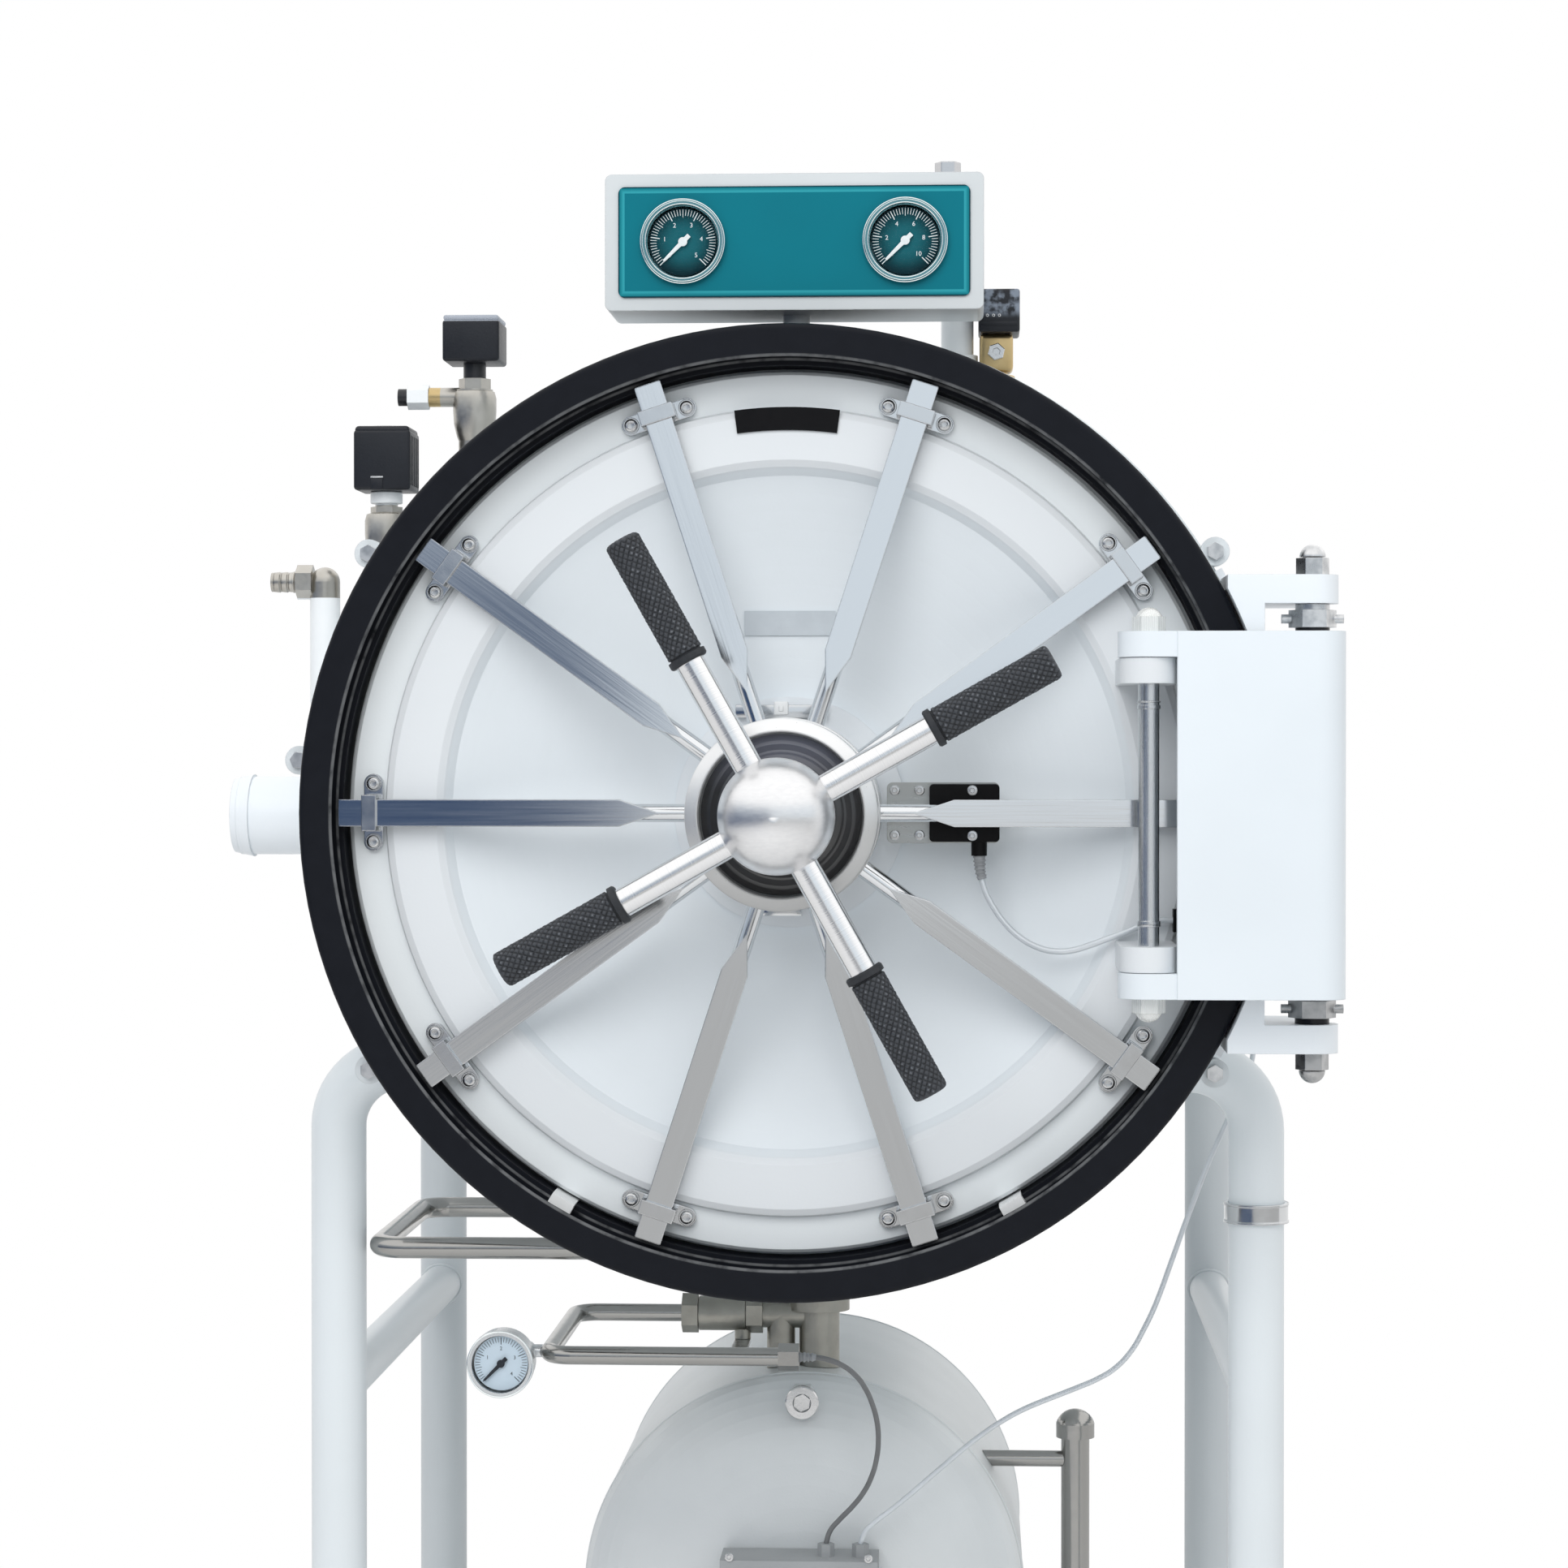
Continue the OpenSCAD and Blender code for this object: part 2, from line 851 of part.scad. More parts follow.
module cam_disc() {
    boss_wall = 8;
    boss_r = spindle_r + boss_wall;
    color(brass)
        vessel() {
            front_plate(cam_y, cam_t)
                difference() {
                    circle(cam_r);
                    circle(spindle_r + key_gap);
                    for (i = [0:bar_count - 1])
                        cam_slot(i * 360 / bar_count);
                }
            front_plate(cam_y - cam_t, cam_t)
                ring_section(boss_r, boss_r - spindle_r - key_gap);
        }
}

module spindle() {
    journal = spindle_r / 2;
    color(steel)
        vessel()
            turned([
                [0, ball_y + ball_r / 2], [spindle_r, ball_y + ball_r / 2],
                [spindle_r, dish_y - cut], [journal, dish_y - cut], [journal, dish_y + dish_t], [0, dish_y + dish_t]
            ]);
}

module wheel_spokes() {
    spoke_end = grip_in + grip_len - grip_r / 2;
    neck_end = -hub_out - cut;
    color(steel)
        vessel()
            difference() {
                union() {
                    translate([0, ball_y, 0])
                        along_y()
                            sphere(ball_r);
                    translate([0, ball_y, 0])
                        along_y()
                            cylinder(r = neck_r, h = neck_end - ball_y);
                    for (i = [0:3])
                        around(spoke_angle + 90 * i)
                            translate([0, ball_y, 0])
                                along_x()
                                    cylinder(r = spoke_r, h = spoke_end);
                }
                translate([0, ball_y + ball_r / 2, 0])
                    along_y()
                        cylinder(r = spindle_r + key_gap, h = ball_out);
            }
}

module wheel_grips() {
    collar_len = 12;
    collar_h = 2;
    collar_r = grip_r + collar_h;
    end_r = 5;
    color(black)
        vessel()
            for (i = [0:3])
                around(spoke_angle + 90 * i)
                    translate([grip_in, ball_y, 0])
                        along_x()
                            difference() {
                                rotate_extrude()
                                    polygon(concat(
                                        [[0, 0], [collar_r - cut, 0], [collar_r, cut], [collar_r, collar_len - cut],
                                            [grip_r, collar_len]],
                                        [for (k = [0:5]) let (a = 18 * k)
                                            [grip_r - end_r + end_r * cos(a), grip_len - end_r + end_r * sin(a)]],
                                        [[0, grip_len]]
                                    ));
                                translate([0, 0, -cut])
                                    cylinder(r = spoke_r + key_gap, h = grip_len - grip_r / 2 + cut + key_gap);
                            }
}

module wheel_dish() {
    side_gap = 1.5;
    sunk = 4;
    edge = bezel_in - side_gap;
    front = sunk - hub_out;
    back = web_y - sunk;
    color(black)
        vessel()
            turned([
                [spindle_r + key_gap, -hub_out - cut / 2], [neck_r + 3, -hub_out - cut / 2], [neck_r + 6, front - 2],
                [48, front - 2], [52, front], [54, front + 1.4], [56, front + 2], [58, front + 1.2],
                [61, front], [64, front + 1], [67, front + 2.4], [edge, front + 4], [edge, front + 7],
                [edge - 4, back], [spindle_r + key_gap, back]
            ]);
}

// THINGS ON THE DOOR

plate_t = 1.5;

// The space behind the bowl's surface
module behind_bowl(d) {
    turned(concat(bowl(-d), [[0, dish_y - d], [0, dish_y + dish_depth], [bowl_edge, dish_y + dish_depth]]));
}

module blank_plates() {
    label_r = 359.5;
    label_h = 20.5;
    label_half = 7.5;
    name_z = 170;
    name_w = 82;
    name_h = 22;
    vessel() {
        color(black)
            arc_band(label_r - label_h, label_r, band_front - plate_t, band_front, 90 - label_half, 90 + label_half);
        color(steel)
            intersection() {
                difference() {
                    behind_bowl(plate_t + seat);
                    behind_bowl(seat);
                }
                translate([0, 0, name_z])
                    front_box([name_w, dish_y, name_h], band_front);
            }
    }
}

bracket_x = 88;
bracket_len = 100;
bracket_h = 54;
bracket_t = 3;
bracket_y = bar_y + bar_t / 2 + 22;
block_x = 126;
block_len = 62;
block_t = 16;
gland_x = 170;
gland_z = -38;
gland_r = 7;
cable_end_x = 340;
cable_end_y = 29;
cable_end_z = -94;

module sensor_bracket() {
    post_r = 5;
    post_x = [120, 176];
    color(steel)
        vessel() {
            front_plate(bracket_y, bracket_t)
                translate([bracket_x + bracket_len / 2, 0])
                    round_rect([bracket_len, bracket_h], post_r);
            difference() {
                for (x = post_x, side = [-1, 1])
                    translate([x, bracket_y + bracket_t, side * (bracket_h / 2 - 1.5 * post_r)])
                        along_y()
                            cylinder(r = post_r, h = dish_y - bracket_y, $fn = small_fn);
                behind_bowl(seat);
            }
        }
}

module sensor_block() {
    base = -bracket_h / 2 + plate_t;
    clip_len = 32;
    clip_foot = 9;
    clip_t = 18;
    clip_h = 20;
    color(black)
        vessel() {
            front_plate(bracket_y - block_t, block_t)
                translate([block_x + block_len / 2, 0])
                    round_rect([block_len, bracket_h - 2 * plate_t], gland_r / 2);
            translate([gland_x, bracket_y - block_t / 2, gland_z])
                cylinder(r = gland_r, h = base - gland_z, $fn = small_fn);
            translate([cable_end_x, cable_end_y - clip_t / 2, cable_end_z - clip_h / 2]) {
                cube([clip_len, band_front - plate_t - cable_end_y + clip_t / 2, clip_h]);
                translate([clip_len - clip_foot, 0, 0])
                    cube([clip_foot, rim_front - cable_end_y + clip_t / 2, clip_h]);
            }
        }
}

// STAND

foot_plate_t = 8;
foot_w = 110;
foot_len = 90;
anchor_r = 7;
cradle_y = [450, 680];

// One bent leg, from its foot plate to the casing
module leg(side, y) {
    height = axis_z - bend_drop - foot_plate_t;
    mirror([side < 0 ? 1 : 0, 0, 0])
        translate([leg_x, y, floor_z + foot_plate_t]) {
            tube(leg_r, leg_t, height);
            translate([0, 0, height])
                rotate([90, 0, 0])
                    tube_bend(leg_r, leg_t, leg_bend, 90);
        }
}

module foot_plate(side, y) {
    translate([side * leg_x, y, floor_z])
        difference() {
            translate([-foot_w / 2, -foot_len / 2, 0])
                cube([foot_w, foot_len, foot_plate_t]);
            for (sx = [-1, 1])
                translate([sx * (foot_w / 2 - anchor_r * 2), 0, -cut])
                    cylinder(r = anchor_r, h = foot_plate_t + 2 * cut);
        }
}

module legs() {
    color(white)
        vessel() {
            difference() {
                for (side = [-1, 1], y = [leg_front_y, leg_rear_y])
                    leg(side, y);
                along_y()
                    cylinder(r = casing_r + seat, h = casing_end);
            }
            for (side = [-1, 1], y = [leg_front_y, leg_rear_y])
                foot_plate(side, y);
        }
}

band_drop = 369;
band_t = 3;
band_h = 18;

module frame_rails() {
    saddle_w = 160;
    saddle_t = 12;
    color(white)
        vessel() {
            difference() {
                union() {
                    for (side = [-1, 1], z = [-rail_drop, floor_z + base_rail_z])
                        translate([side * leg_x, leg_front_y, z])
                            along_y()
                                tube(rail_r, leg_t, leg_pitch);
                    for (y = [each cradle_y, leg_rear_y])
                        translate([-leg_x, y, floor_z + base_rail_z])
                            along_x()
                                tube(rail_r, leg_t, 2 * leg_x);
                }
                for (side = [-1, 1], y = [leg_front_y, leg_rear_y])
                    translate([side * leg_x, y, floor_z])
                        cylinder(r = leg_r + seat, h = axis_z);
            }
            difference() {
                for (y = cradle_y)
                    translate([-saddle_w, y - saddle_t / 2, floor_z + base_rail_z])
                        cube([2 * saddle_w, saddle_t, tank_r]);
                translate([0, 0, tank_z])
                    along_y()
                        cylinder(r = tank_r + seat, h = leg_rear_y);
                for (y = cradle_y)
                    translate([-leg_x, y, floor_z + base_rail_z])
                        along_x()
                            cylinder(r = rail_r, h = 2 * leg_x);
            }
            translate([leg_x, leg_front_y, -band_drop - band_h / 2])
                tube(leg_r + seat + band_t, band_t, band_h);
        }
}

// STEAM GENERATOR

gen_head = 60;
gen_skin = 1.5;
cover_space = 28;
gen_shell_r = tank_r - cover_space;
gen_shell_t = 5;

module at_tank() {
    translate([0, 0, tank_z])
        children();
}

module generator_cover() {
    front = head_curve(tank_r, gen_head, 14);
    inner = head_curve(tank_r - gen_skin, gen_head - gen_skin, 14);
    plug_r = 13.5;
    plug_up = 193;
    far = tank_y + tank_len;
    color([0.78, 0.78, 0.77])
        vessel()
            at_tank() {
                turned(concat(
                    [for (p = back_to_front(front)) [p[0], tank_y - p[1]]],
                    [[tank_r, far]],
                    [for (p = front) [p[0], far + p[1]]],
                    [for (p = back_to_front(inner)) [p[0], far + p[1]]],
                    [for (p = inner) [p[0], tank_y - p[1]]]
                ));
                difference() {
                    translate([0, tank_y - gen_head + plug_r, plug_up])
                        along_y()
                            hex(2 * plug_r, gen_head / 2);
                    turned(concat(
                        [for (p = back_to_front(front)) [p[0], tank_y - p[1] - seat]],
                        [[tank_r, far], [0, far]]
                    ));
                }
            }
}

module generator_shell() {
    front = head_curve(gen_shell_r, gen_head - gen_shell_t, 14);
    inner = head_curve(gen_shell_r - gen_shell_t, gen_head - 2 * gen_shell_t, 14);
    far = tank_y + tank_len;
    hoop_t = 10;
    color(steel)
        vessel()
            at_tank() {
                turned(concat(
                    [for (p = back_to_front(front)) [p[0], tank_y - p[1]]],
                    [for (p = front) [p[0], far + p[1]]],
                    [for (p = back_to_front(inner)) [p[0], far + p[1]]],
                    [for (p = inner) [p[0], tank_y - p[1]]]
                ));
                // hoops that hold the shell in its cover
                for (y = cradle_y)
                    translate([0, y - hoop_t / 2, 0])
                        along_y()
                            linear_extrude(hoop_t)
                                difference() {
                                    circle(tank_r - gen_skin - seat);
                                    circle(gen_shell_r - gen_shell_t / 2);
                                }
            }
}

module heater_tubes() {
    heater_r = 6;
    heater_t = 1.5;
    heater_up = 20;
    heater_x = [-60, 0, 60];
    drop_share = 0.4;
    drop = gen_shell_r * drop_share;
    length = tank_len - 2 * heater_up;
    head_r = 1.4 * heater_x[2];
    dome = head_curve(gen_shell_r - gen_shell_t - seat, gen_head - 2 * gen_shell_t - seat, 14);
    color([0.5, 0.48, 0.45])
        vessel()
            at_tank()
                translate([0, tank_y, -drop]) {
                    for (x = heater_x, s = [-1, 1])
                        translate([x, 0, s * heater_up]) {
                            along_y()
                                tube(heater_r, heater_t, length);
                            translate([0, length, 0])
                                rotate([0, -90 * s, 0])
                                    tube_bend(heater_r, heater_t, heater_up, 90);
                        }
                    intersection() {
                        translate([0, -gen_head, 0])
                            along_y()
                                cylinder(r = head_r, h = gen_head);
                        translate([0, -tank_y, drop])
                            turned(concat(
                                [for (p = back_to_front(dome)) [p[0], tank_y - p[1]]],
                                [[0, tank_y]]
                            ));
                    }
                }
}

box_w = 150;
box_h = 110;
box_d = 56;
box_wall = 2;
box_front = tank_y - gen_head - box_d;
gland_y = 283;
probe_gland_x = 25;
control_gland_x = 58;
gland_top = 12;
casing_gland_x = 406;
casing_gland_y = 222;
casing_gland_z = -205;

module terminal_box() {
    color([0.35, 0.36, 0.38])
        vessel() {
            translate([0, box_front, tank_z])
                difference() {
                    front_box([box_w, box_d - seat, box_h], 0);
                    front_box([box_w - 2 * box_wall, box_d - box_wall - seat, box_h - 2 * box_wall], box_wall);
                }
            for (x = [probe_gland_x, control_gland_x])
                translate([x, gland_y, tank_z + box_h / 2])
                    hex(2 * gland_r, gland_top);
            difference() {
                translate([casing_gland_x - box_d, casing_gland_y, casing_gland_z])
                    along_x()
                        cylinder(r = gland_r, h = box_d, $fn = small_fn);
                along_y()
                    cylinder(r = casing_r + seat, h = casing_end);
            }
        }
}

module level_column() {
    column_x = 267;
    column_y = 450;
    column_r = 14;
    top = 154;
    bottom = -180;
    stub_z = [118, -112];
    stub_r = 8;
    lip = 5;
    color(steel)
        vessel()
            at_tank()
                difference() {
                    union() {
                        translate([column_x, column_y, bottom])
                            cylinder(r = column_r, h = top - bottom);
                        translate([column_x, column_y, top])
                            dome(column_r + lip, column_r);
                        translate([column_x, column_y, top - column_r])
                            cylinder(r = column_r + lip, h = column_r);
                        for (z = stub_z)
                            translate([0, column_y, z])
                                along_x()
                                    cylinder(r = stub_r, h = column_x, $fn = small_fn);
                    }
                    along_y()
                        cylinder(r = tank_r + seat, h = leg_rear_y);
                }
}

// PIPES

loop_z = -403;
loop_x = -385;
loop_near = 150;
loop_far = 451;
loop_r = 10;
loop_bend = 26;
low_z = -503;
low_x = -228;
low_near = 160;
low_end = -14;
low_r = 8.5;
low_bend = 22;
pipe_t = 1.5;
valve_left = -123;
branch_x = -25;
branch_r = 14;

// A level U of pipe, open to the right
module u_pipe(x_out, near_end, far_end, near, far, r, bend_r) {
    translate([x_out + bend_r, near, 0])
        along_x()
            tube(r, pipe_t, near_end - x_out - bend_r);
    translate([x_out + bend_r, far, 0])
        along_x()
            tube(r, pipe_t, far_end - x_out - bend_r);
    translate([x_out, near + bend_r, 0])
        along_y()
            tube(r, pipe_t, far - near - 2 * bend_r);
    translate([x_out, far - bend_r, 0])
        mirror([1, 0, 0])
            tube_bend(r, pipe_t, bend_r, 90);
    translate([x_out, near + bend_r, 0])
        mirror([1, 0, 0])
            mirror([0, 1, 0])
                tube_bend(r, pipe_t, bend_r, 90);
}

module steam_pipes() {
    well_r = 11;
    well_len = 19;
    color(steel)
        vessel() {
            difference() {
                translate([0, 0, loop_z])
                    u_pipe(loop_x, 0, 0, loop_near, loop_far, loop_r, loop_bend);
                along_y()
                    cylinder(r = casing_r + seat, h = casing_end);
            }
            translate([0, 0, low_z])
                u_pipe(low_x, low_end, valve_left - seat, low_near, drain_y, low_r, low_bend);
            translate([low_end, low_near, low_z])
                along_x() {
                    hex(2 * well_r, well_len);
                }
        }
}

lever_x = -63;
lever_z = -531;
lever_t = 3;
stem_r = 4;

module drain_body() {
    ball_body_r = 17;
    valve_right = -43;
    nut_len = 16;
    nut_across = 34;
    clamp_r = 30;
    clamp_t = 12;
    clamp_z = [-492, -466];
    bore_r = drain_r - shell_t;
    valve_len = valve_right - valve_left;
    color(steel)
        vessel()
            difference() {
                union() {
                    translate([drain_x, drain_y, tank_z])
                        cylinder(r = drain_r, h = tank_drop - chamber_r + shell_t);
                    translate([branch_x, drain_y, tank_z])
                        cylinder(r = branch_r, h = low_z - tank_z);
                    translate([valve_left, drain_y, low_z])
                        along_x() {
                            hex(nut_across, nut_len);
                            cylinder(r = branch_r, h = drain_x - valve_left);
                            translate([0, 0, nut_len + cut])
                                cylinder(r = ball_body_r, h = valve_len - 2 * nut_len - 2 * cut);
                            translate([0, 0, valve_len - nut_len])
                                hex(nut_across, nut_len);
                        }
                    for (z = clamp_z)
                        translate([drain_x, drain_y, z - clamp_t / 2])
                            cylinder(r = clamp_r, h = clamp_t);
                    translate([lever_x, drain_y, lever_z - lever_t - cut])
                        cylinder(r = stem_r, h = low_z - lever_z);
                    translate([lever_x, drain_y, lever_z + lever_t])
                        cylinder(r = 2 * stem_r, h = low_z - lever_z - ball_body_r);
                }
                at_tank()
                    along_y()
                        cylinder(r = tank_r + seat, h = leg_rear_y);
                along_y()
                    cylinder(r = chamber_r, h = leg_rear_y);
                translate([drain_x, drain_y, tank_z])
                    cylinder(r = bore_r, h = tank_drop);
            }
}

module drain_lever() {
    lever_len = 78;
    lever_w = 16;
    color(steel)
        vessel()
            translate([lever_x, drain_y, lever_z - seat])
                difference() {
                    linear_extrude(lever_t) {
                        circle(lever_w / 2, $fn = small_fn);
                        translate([-lever_w / 2, -lever_len])
                            square([lever_w, lever_len]);
                        translate([0, -lever_len])
                            circle(lever_w / 2, $fn = small_fn);
                    }
                    translate([0, 0, -cut])
                        cylinder(r = stem_r + run_gap, h = lever_t + 2 * cut);
                }
}

module side_port() {
    cap_t = 6;
    flare = 2;
    color(white)
        vessel()
            difference() {
                translate([0, port_y, port_z])
                    rotate([0, -90, 0]) {
                        cylinder(r = port_r, h = port_out - cap_t);
                        translate([0, 0, port_out - cap_t - 2 * cap_t])
                            cylinder(r1 = port_r + flare, r2 = port_r - flare, h = 3 * cap_t);
                    }
                along_y()
                    cylinder(r = chamber_r, h = seam_y);
                translate([0, port_y, port_z])
                    rotate([0, -90, 0])
                        cylinder(r = port_r - port_t, h = port_out - 3 * cap_t);
            }
}

// VALVES AND FITTINGS

fit_y = 200;          // depth of the fittings behind the ring's front
upper_x = -300;
upper_z = 370;
lower_x = -383;
lower_z = 256;
right_x = 186;
right_z = 425;
coil_w = 53;
coil_d = 58;
coil_h = 43;
tall_coil_h = 60;
valve_r = 17;
valve_pipe_r = 15;
valve_neck_r = 10.5;
valve_neck_h = 24;
valve_nut = 26;
valve_nut_h = 10;
outlet_r = 9;
outlet_nut = 20;
outlet_nut_h = 20;
riser_x = -441;
riser_r = 14;
riser_h = 110;
nozzle_z = 213;
nozzle_x = -491;
nozzle_r = 9;
nozzle_tip = 24;
nozzle_nut = 28;
nozzle_nut_h = 15;
vent_x = 150;
vent_r = 15;
vent_top = 462;
vent_pin = 41;
vent_socket_r = 19;

// Children cut back to just outside the casing
module outside_casing() {
    difference() {
        children();
        along_y()
            cylinder(r = casing_r + seat, h = casing_end);
    }
}

// A solenoid valve's body, on a pipe that rises from the casing
module valve_body(x, z, body_h) {
    translate([x, fit_y, 0]) {
        cylinder(r = valve_pipe_r, h = z);
        translate([0, 0, z])
            cylinder(r = valve_r, h = body_h);
        translate([0, 0, z + body_h])
            hex(valve_nut, valve_nut_h);
        translate([0, 0, z + body_h])
            cylinder(r = valve_neck_r, h = valve_neck_h);
    }
}

module valve_bodies() {
    outlet_z = upper_z + 0.9 * valve_r;
    out_start = 2.5 * valve_r;
    brass_h = 2 * valve_pipe_r;
    color(steel)
        vessel()
            outside_casing() {
                valve_body(upper_x, upper_z, 1.3 * valve_r);
                translate([upper_x - out_start, fit_y, outlet_z])
                    along_x()
                        cylinder(r = outlet_r, h = out_start);
                translate([upper_x - out_start - outlet_nut_h, fit_y, outlet_z])
                    along_x()
                        hex(outlet_nut, outlet_nut_h);
                translate([upper_x - out_start - outlet_nut_h - outlet_r, fit_y, outlet_z])
                    along_x()
                        cylinder(r = outlet_r - cut, h = outlet_r);
                valve_body(lower_x, lower_z, valve_r);
                translate([right_x, fit_y, 0]) {
                    cylinder(r = valve_neck_r, h = right_z + brass_h / 2);
                    translate([0, 0, right_z - brass_h / 2])
                        hex(valve_nut, brass_h);
                }
                // vent pipe in its welded socket
                translate([vent_x, fit_y, 0]) {
                    cylinder(r = vent_r, h = vent_top);
                    cylinder(r = vent_socket_r, h = vent_top - vent_pin);
                }
                // riser with round elbows, and its hose nozzle
                translate([riser_x, fit_y, nozzle_z - riser_h]) {
                    cylinder(r = riser_r, h = riser_h);
                    sphere(riser_r);
                    along_x()
                        cylinder(r = riser_r, h = casing_r + riser_x + 4 * riser_r);
                }
                translate([riser_x, fit_y, nozzle_z])
                    sphere(riser_r);
                translate([nozzle_x, fit_y, nozzle_z])
                    along_x() {
                        cylinder(r = nozzle_r, h = riser_x - nozzle_x);
                        translate([0, 0, nozzle_tip])
                            hex(nozzle_nut, nozzle_nut_h);
                    }
            }
}

module valve_coils() {
    coil_round = 3;
    color(black)
        vessel() {
            translate([upper_x, fit_y, upper_z + 1.3 * valve_r + valve_neck_h])
                linear_extrude(coil_h)
                    round_rect([coil_w, coil_d], coil_round);
            translate([lower_x, fit_y, lower_z + valve_r + valve_neck_h])
                linear_extrude(tall_coil_h)
                    round_rect([coil_w, coil_d], coil_round);
            translate([right_x + valve_pipe_r / 6, fit_y, right_z + valve_pipe_r])
                linear_extrude(coil_h)
                    round_rect([coil_w - valve_pipe_r, coil_d], coil_round);
        }
}

// GAUGE PANEL

panel_x = 6;
panel_z = 506;
panel_y = 40;
panel_wall = 2;
panel_corner = 6;
face_w = 312;
face_h = 98;
case_r = 33;
bezel_y = 31;
glass_t = 2;
dial_y = 39;
dial_t = 1;
pointer_t = 1.2;
pointer_y = 35.5;
low_gauge_x = -270;
low_gauge_z = -510;
low_gauge_r = 31;
low_gauge_y = 146;

module at_gauges() {
    for (side = [-1, 1])
        translate([panel_x + side * gauge_pitch / 2, 0, panel_z])
            children();
}

module panel_box() {
    post_r = 12;
    post_y = panel_y + panel_d / 2;
    cap_x = 142;
    cap_across = 20;
    color(white)
        vessel() {
            difference() {
                translate([panel_x, 0, panel_z])
                    front_plate(panel_y, panel_d)
                        round_rect([panel_w, panel_h], panel_corner);
                translate([panel_x, 0, panel_z])
                    front_plate(panel_y + panel_wall, panel_d - 2 * panel_wall)
                        square([panel_w - 2 * panel_wall, panel_h - 2 * panel_wall], center = true);
                at_gauges()
                    translate([0, panel_y - cut, 0])
                        along_y()
                            cylinder(r = case_r + seat, h = panel_wall + 2 * cut);
            }
            difference() {
                translate([panel_x, post_y, 0])
                    cylinder(r = post_r, h = panel_z - panel_h / 2);
                along_y()
                    cylinder(r = flange_r + seat, h = casing_y + seat);
            }
            translate([cap_x, panel_y + 0.7 * cap_across, panel_z + panel_h / 2])
                hex(cap_across, cap_across / 2);
        }
}

module panel_face() {
    color(teal)
        vessel()
            difference() {
                translate([panel_x, 0, panel_z])
                    front_plate(panel_y - panel_wall, panel_wall)
                        round_rect([face_w, face_h], panel_corner);
                at_gauges()
                    translate([0, panel_y - panel_wall - cut, 0])
                        along_y()
                            cylinder(r = case_r + seat, h = panel_wall + 2 * cut);
            }
}

// A gauge's can and bezel; y0 is the bezel's front, back_y the rear face
module gauge_case(r, can_r, y0, seat_y, back_y) {
    lip = 4.5;
    wall = 1.5;
    turned([
        [r - lip, y0], [r - 1, y0], [r, y0 + 1], [r, seat_y], [can_r, seat_y], [can_r, back_y], [0, back_y],
        [0, back_y - wall], [can_r - wall, back_y - wall], [can_r - wall, y0 + 2 * wall + glass_t],
        [r - lip, y0 + 2 * wall + glass_t]
    ]);
}

module gauge_cases() {
    depth = 30;
    boss_r = 8;
    boss_x = 20;
    cup = 12;
    stem_step = 2;
    color(steel)
        vessel() {
            at_gauges()
                gauge_case(gauge_r, case_r, bezel_y, panel_y - panel_wall, panel_y + depth);
            translate([low_gauge_x, 0, low_gauge_z]) {
                gauge_case(low_gauge_r, low_gauge_r - 1, low_gauge_y, low_gauge_y + cup, low_gauge_y + depth);
                translate([boss_x, low_gauge_y + depth, low_z - low_gauge_z])
                    along_y()
                        cylinder(r = boss_r, h = 2 * boss_r);
            }
            difference() {
                translate([low_gauge_x + boss_x, low_gauge_y + depth + boss_r, low_z])
                    along_x()
                        cylinder(r = boss_r - stem_step, h = low_x - low_gauge_x - boss_x);
                translate([low_x, low_near, low_z])
                    along_y()
                        cylinder(r = low_r + seat, h = drain_y);
            }
        }
}

module gauge_dials() {
    dial_gap = 3;
    pin_end = 28;
    low_pin = 20;
    vessel() {
        color([0.05, 0.25, 0.3])
            at_gauges()
                translate([0, dial_y, 0])
                    along_y() {
                        cylinder(r = case_r - dial_gap, h = dial_t);
                        cylinder(r = dial_t, h = panel_y + pin_end - dial_y);
                    }
        color("white")
            translate([low_gauge_x, low_gauge_y + dial_y - bezel_y, low_gauge_z])
                along_y() {
                    cylinder(r = low_gauge_r - 2 * dial_gap, h = dial_t);
                    cylinder(r = dial_t, h = low_pin);
                }
    }
}

module gauge_glasses() {
    glass_gap = 0.5;
    low_rim = 5;
    color([0.8, 0.9, 0.95, 0.3])
        vessel() {
            at_gauges()
                translate([0, bezel_y + glass_t, 0])
                    along_y()
                        cylinder(r = case_r - glass_gap, h = glass_t);
            translate([low_gauge_x, low_gauge_y + glass_t, low_gauge_z])
                along_y()
                    cylinder(r = low_gauge_r - low_rim, h = glass_t);
        }
}

// A pointer at zero, aimed down to the left
module pointer(length) {
    hub = length / 6;
    tip = length / 22;
    rotate([0, 45, 0])
        front_plate(0, pointer_t) {
            circle(hub, $fn = small_fn);
            polygon([[-length, tip], [-length, -tip], [0, -hub / 2], [length / 3, -hub / 2], [length / 3, hub / 2],
                [0, hub / 2]]);
        }
}

tip_space = 9;

module panel_pointer(side) {
    color("white")
        vessel()
            translate([panel_x + side * gauge_pitch / 2, pointer_y, panel_z])
                rotate([0, -90, 0])
                    pointer(case_r - tip_space);
}

module left_pointer() { panel_pointer(-1); }
module right_pointer() { panel_pointer(1); }

module drain_pointer() {
    color(black)
        vessel()
            translate([low_gauge_x, low_gauge_y + pointer_y - bezel_y, low_gauge_z])
                rotate([0, -90, 0])
                    pointer(low_gauge_r - tip_space);
}

// CABLES
// Route points in the vessel's own frame, chosen by hand

